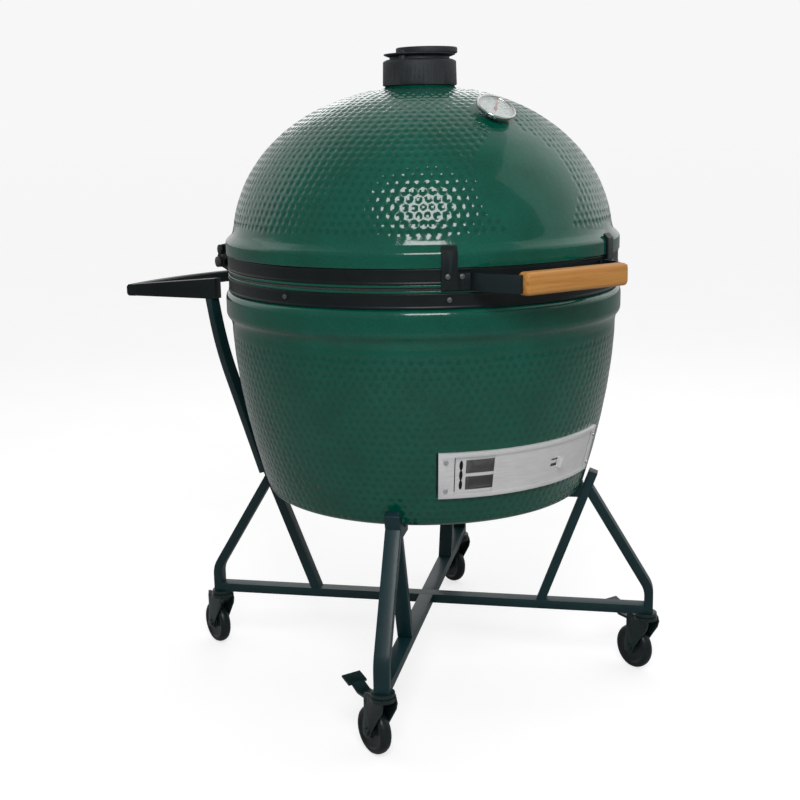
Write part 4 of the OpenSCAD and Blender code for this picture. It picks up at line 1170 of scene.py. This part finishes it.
# ---------------------------------------------------------------- cooking grid
def cooking_grid():
    """Round bars welded into a ring, with two cross bars under them."""
    lo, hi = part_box("cooking_grid")
    r, z = hi.x - 5 * MM, hi.z - 5 * MM
    turns = np.linspace(0, 2 * math.pi, 145)[:-1]
    parts = [tube([(r * math.cos(a), EGG_Y + r * math.sin(a), z) for a in turns], 5 * MM, 14, closed=True)]
    for i in range(-14, 15):
        x = i * 24 * MM
        h = math.sqrt(r * r - x * x)
        parts.append(tube([(x, EGG_Y - h, z), (x, EGG_Y + h, z)], 3 * MM, 12))
    for y in (-130 * MM, 130 * MM):
        h = math.sqrt(r * r - y * y) - 8 * MM
        parts.append(tube([(-h, EGG_Y + y, z - 4.5 * MM), (h, EGG_Y + y, z - 4.5 * MM)], 3 * MM, 12))
    mesh = mesh_from("grid_bars", *merged(parts))
    bm = bmesh.new()
    bm.from_mesh(mesh)
    mark_sharp(bm, 50)
    bm.to_mesh(mesh)
    bm.free()
    piece("grid_bars", mesh, "cooking_grid")


cooking_grid()


# ---------------------------------------------------------------- pieces that keep the frame's own shape
REFINED = {
    "fire_box": 3.0, "fire_ring": 3.0, "fire_grate": 1.2, "hinge_base_bracket": 0.9,
    "hinge_lid_bracket": 0.9, "hinge_pin": 1.0, "hinge_rod": 1.0, "handle_arm_left": 0.9,
    "handle_arm_right": 0.9, "base_bolts": 0.7, "lid_bolts": 0.7, "vent_body": 1.0, "vent_lid": 0.5,
    "vent_dial": 0.9, "vent_pivot": 0.8, "draft_frame": 0.35, "draft_screws": 0.8, "long_tube": 2.0,
    "short_tube_front": 2.0, "short_tube_back": 2.0, "saddles": 1.5, "saddle_pads": 0.5,
    "riser_left": 2.0, "riser_right": 2.0, "push_bar": 8.0, "caster_stems": 1.2, "pedal_fl": 0.9,
    "pedal_fr": 0.9,
}
for corner in CORNERS:
    REFINED["leg_" + corner] = 2.0
    REFINED["strut_" + corner] = 2.0
    REFINED["fork_" + corner] = 1.2
    REFINED["wheel_" + corner] = 1.0
PLATED = {"lid_bolts": BOLT, "base_bolts": BOLT, "draft_screws": MAT["gauge_chrome"]}
for node_name, width_mm in REFINED.items():
    made = refine(node_name, width_mm * MM, 3 if width_mm >= 2 else 2)
    if node_name in PLATED:
        made.data.materials[0] = PLATED[node_name]


# ---------------------------------------------------------------- studio
def make_floor():
    """A pale studio floor, large enough that its edge lies past the horizon's haze."""
    size = 60
    mesh = mesh_from("studio_floor", [(-size, -size, 0), (size, -size, 0), (size, size, 0), (-size, size, 0)],
                     [(0, 1, 2, 3)], smooth=False)
    mat, tree, bsdf, obj = shader("studio_floor")
    tint = ramp(tree, noise(tree, obj, 3, 3), [(0.3, (0.42, 0.42, 0.42)), (0.7, (0.44, 0.44, 0.44))])
    tree.links.new(tint, bsdf.inputs["Base Color"])
    bsdf.inputs["Roughness"].default_value = 0.9
    bsdf.inputs["Specular IOR Level"].default_value = 0.1
    bsdf.inputs["Emission Color"].default_value = (1, 1, 1, 1)
    path = tree.nodes.new("ShaderNodeLightPath")
    tree.links.new(span(tree, path.outputs["Is Camera Ray"], 0.01, 0.71), bsdf.inputs["Emission Strength"])
    mesh.materials.append(mat)
    floor = bpy.data.objects.new("studio_floor", mesh)
    bpy.context.scene.collection.objects.link(floor)


def softbox(name, azimuth, elevation, distance, size, power, aim=None):
    """A soft rectangular lamp; azimuth is measured from the front, positive to the right."""
    lamp = bpy.data.lights.new(name, "AREA")
    lamp.shape = "RECTANGLE"
    lamp.size, lamp.size_y = size
    lamp.energy = power
    obj = bpy.data.objects.new(name, lamp)
    aim = aim or Vector((0, EGG_Y, 0.95))
    a, e = math.radians(azimuth), math.radians(elevation)
    back = Vector((math.sin(a) * math.cos(e), -math.cos(a) * math.cos(e), math.sin(e)))
    obj.location = aim + back * distance
    obj.rotation_euler = (-back).to_track_quat("-Z", "Y").to_euler()
    bpy.context.scene.collection.objects.link(obj)


def make_world():
    """A white cove behind the grill that darkens towards the camera's side of the studio."""
    world = bpy.data.worlds.new("studio")
    bpy.context.scene.world = world
    world.use_nodes = True
    tree = world.node_tree
    background = tree.nodes["Background"]
    coords = tree.nodes.new("ShaderNodeTexCoord")
    dot = tree.nodes.new("ShaderNodeVectorMath")
    dot.operation = "DOT_PRODUCT"
    dot.inputs[1].default_value = (0.55, 0.83, 0.05)
    tree.links.new(coords.outputs["Generated"], dot.inputs[0])
    cove = ramp(tree, span(tree, dot.outputs["Value"], 0.5, 1.0),
                [(0.35, (0.022, 0.025, 0.028)), (0.74, (0.72, 0.72, 0.72))])
    path = tree.nodes.new("ShaderNodeLightPath")
    seen = blend_colours(tree, path.outputs["Is Camera Ray"], cove, (0.93, 0.93, 0.93))
    tree.links.new(seen, background.inputs["Color"])


def make_camera():
    """The camera stands in front and to the left, looking slightly down."""
    cam = bpy.data.cameras.new("camera")
    cam.lens, cam.sensor_width = 56.99, 36
    cam.clip_end = 200
    obj = bpy.data.objects.new("camera", cam)
    bpy.context.scene.collection.objects.link(obj)
    yaw, pitch, roll = math.radians(-33.59), math.radians(12.04), math.radians(-1.08)
    obj.matrix_world = (
        Matrix.Translation((-1.6037, EGG_Y - 2.3142, 1.2255))
        @ Matrix.Rotation(yaw, 4, "Z")
        @ Matrix.Rotation(math.pi / 2 - pitch, 4, "X")
        @ Matrix.Rotation(roll, 4, "Z")
    )
    bpy.context.scene.camera = obj


make_floor()
make_world()
make_camera()
softbox("key_box", -33, 32, 3.4, (1.25, 1.3), 58)
softbox("left_box", -140, 28, 3.6, (1.6, 2.2), 3)
softbox("right_box", 70, 32, 3.6, (4.6, 3.4), 22)
softbox("back_box", 151, 26, 3.6, (2.0, 1.4), 12)
bpy.context.scene.view_settings.view_transform = "Standard"
bpy.context.scene.view_settings.look = "None"
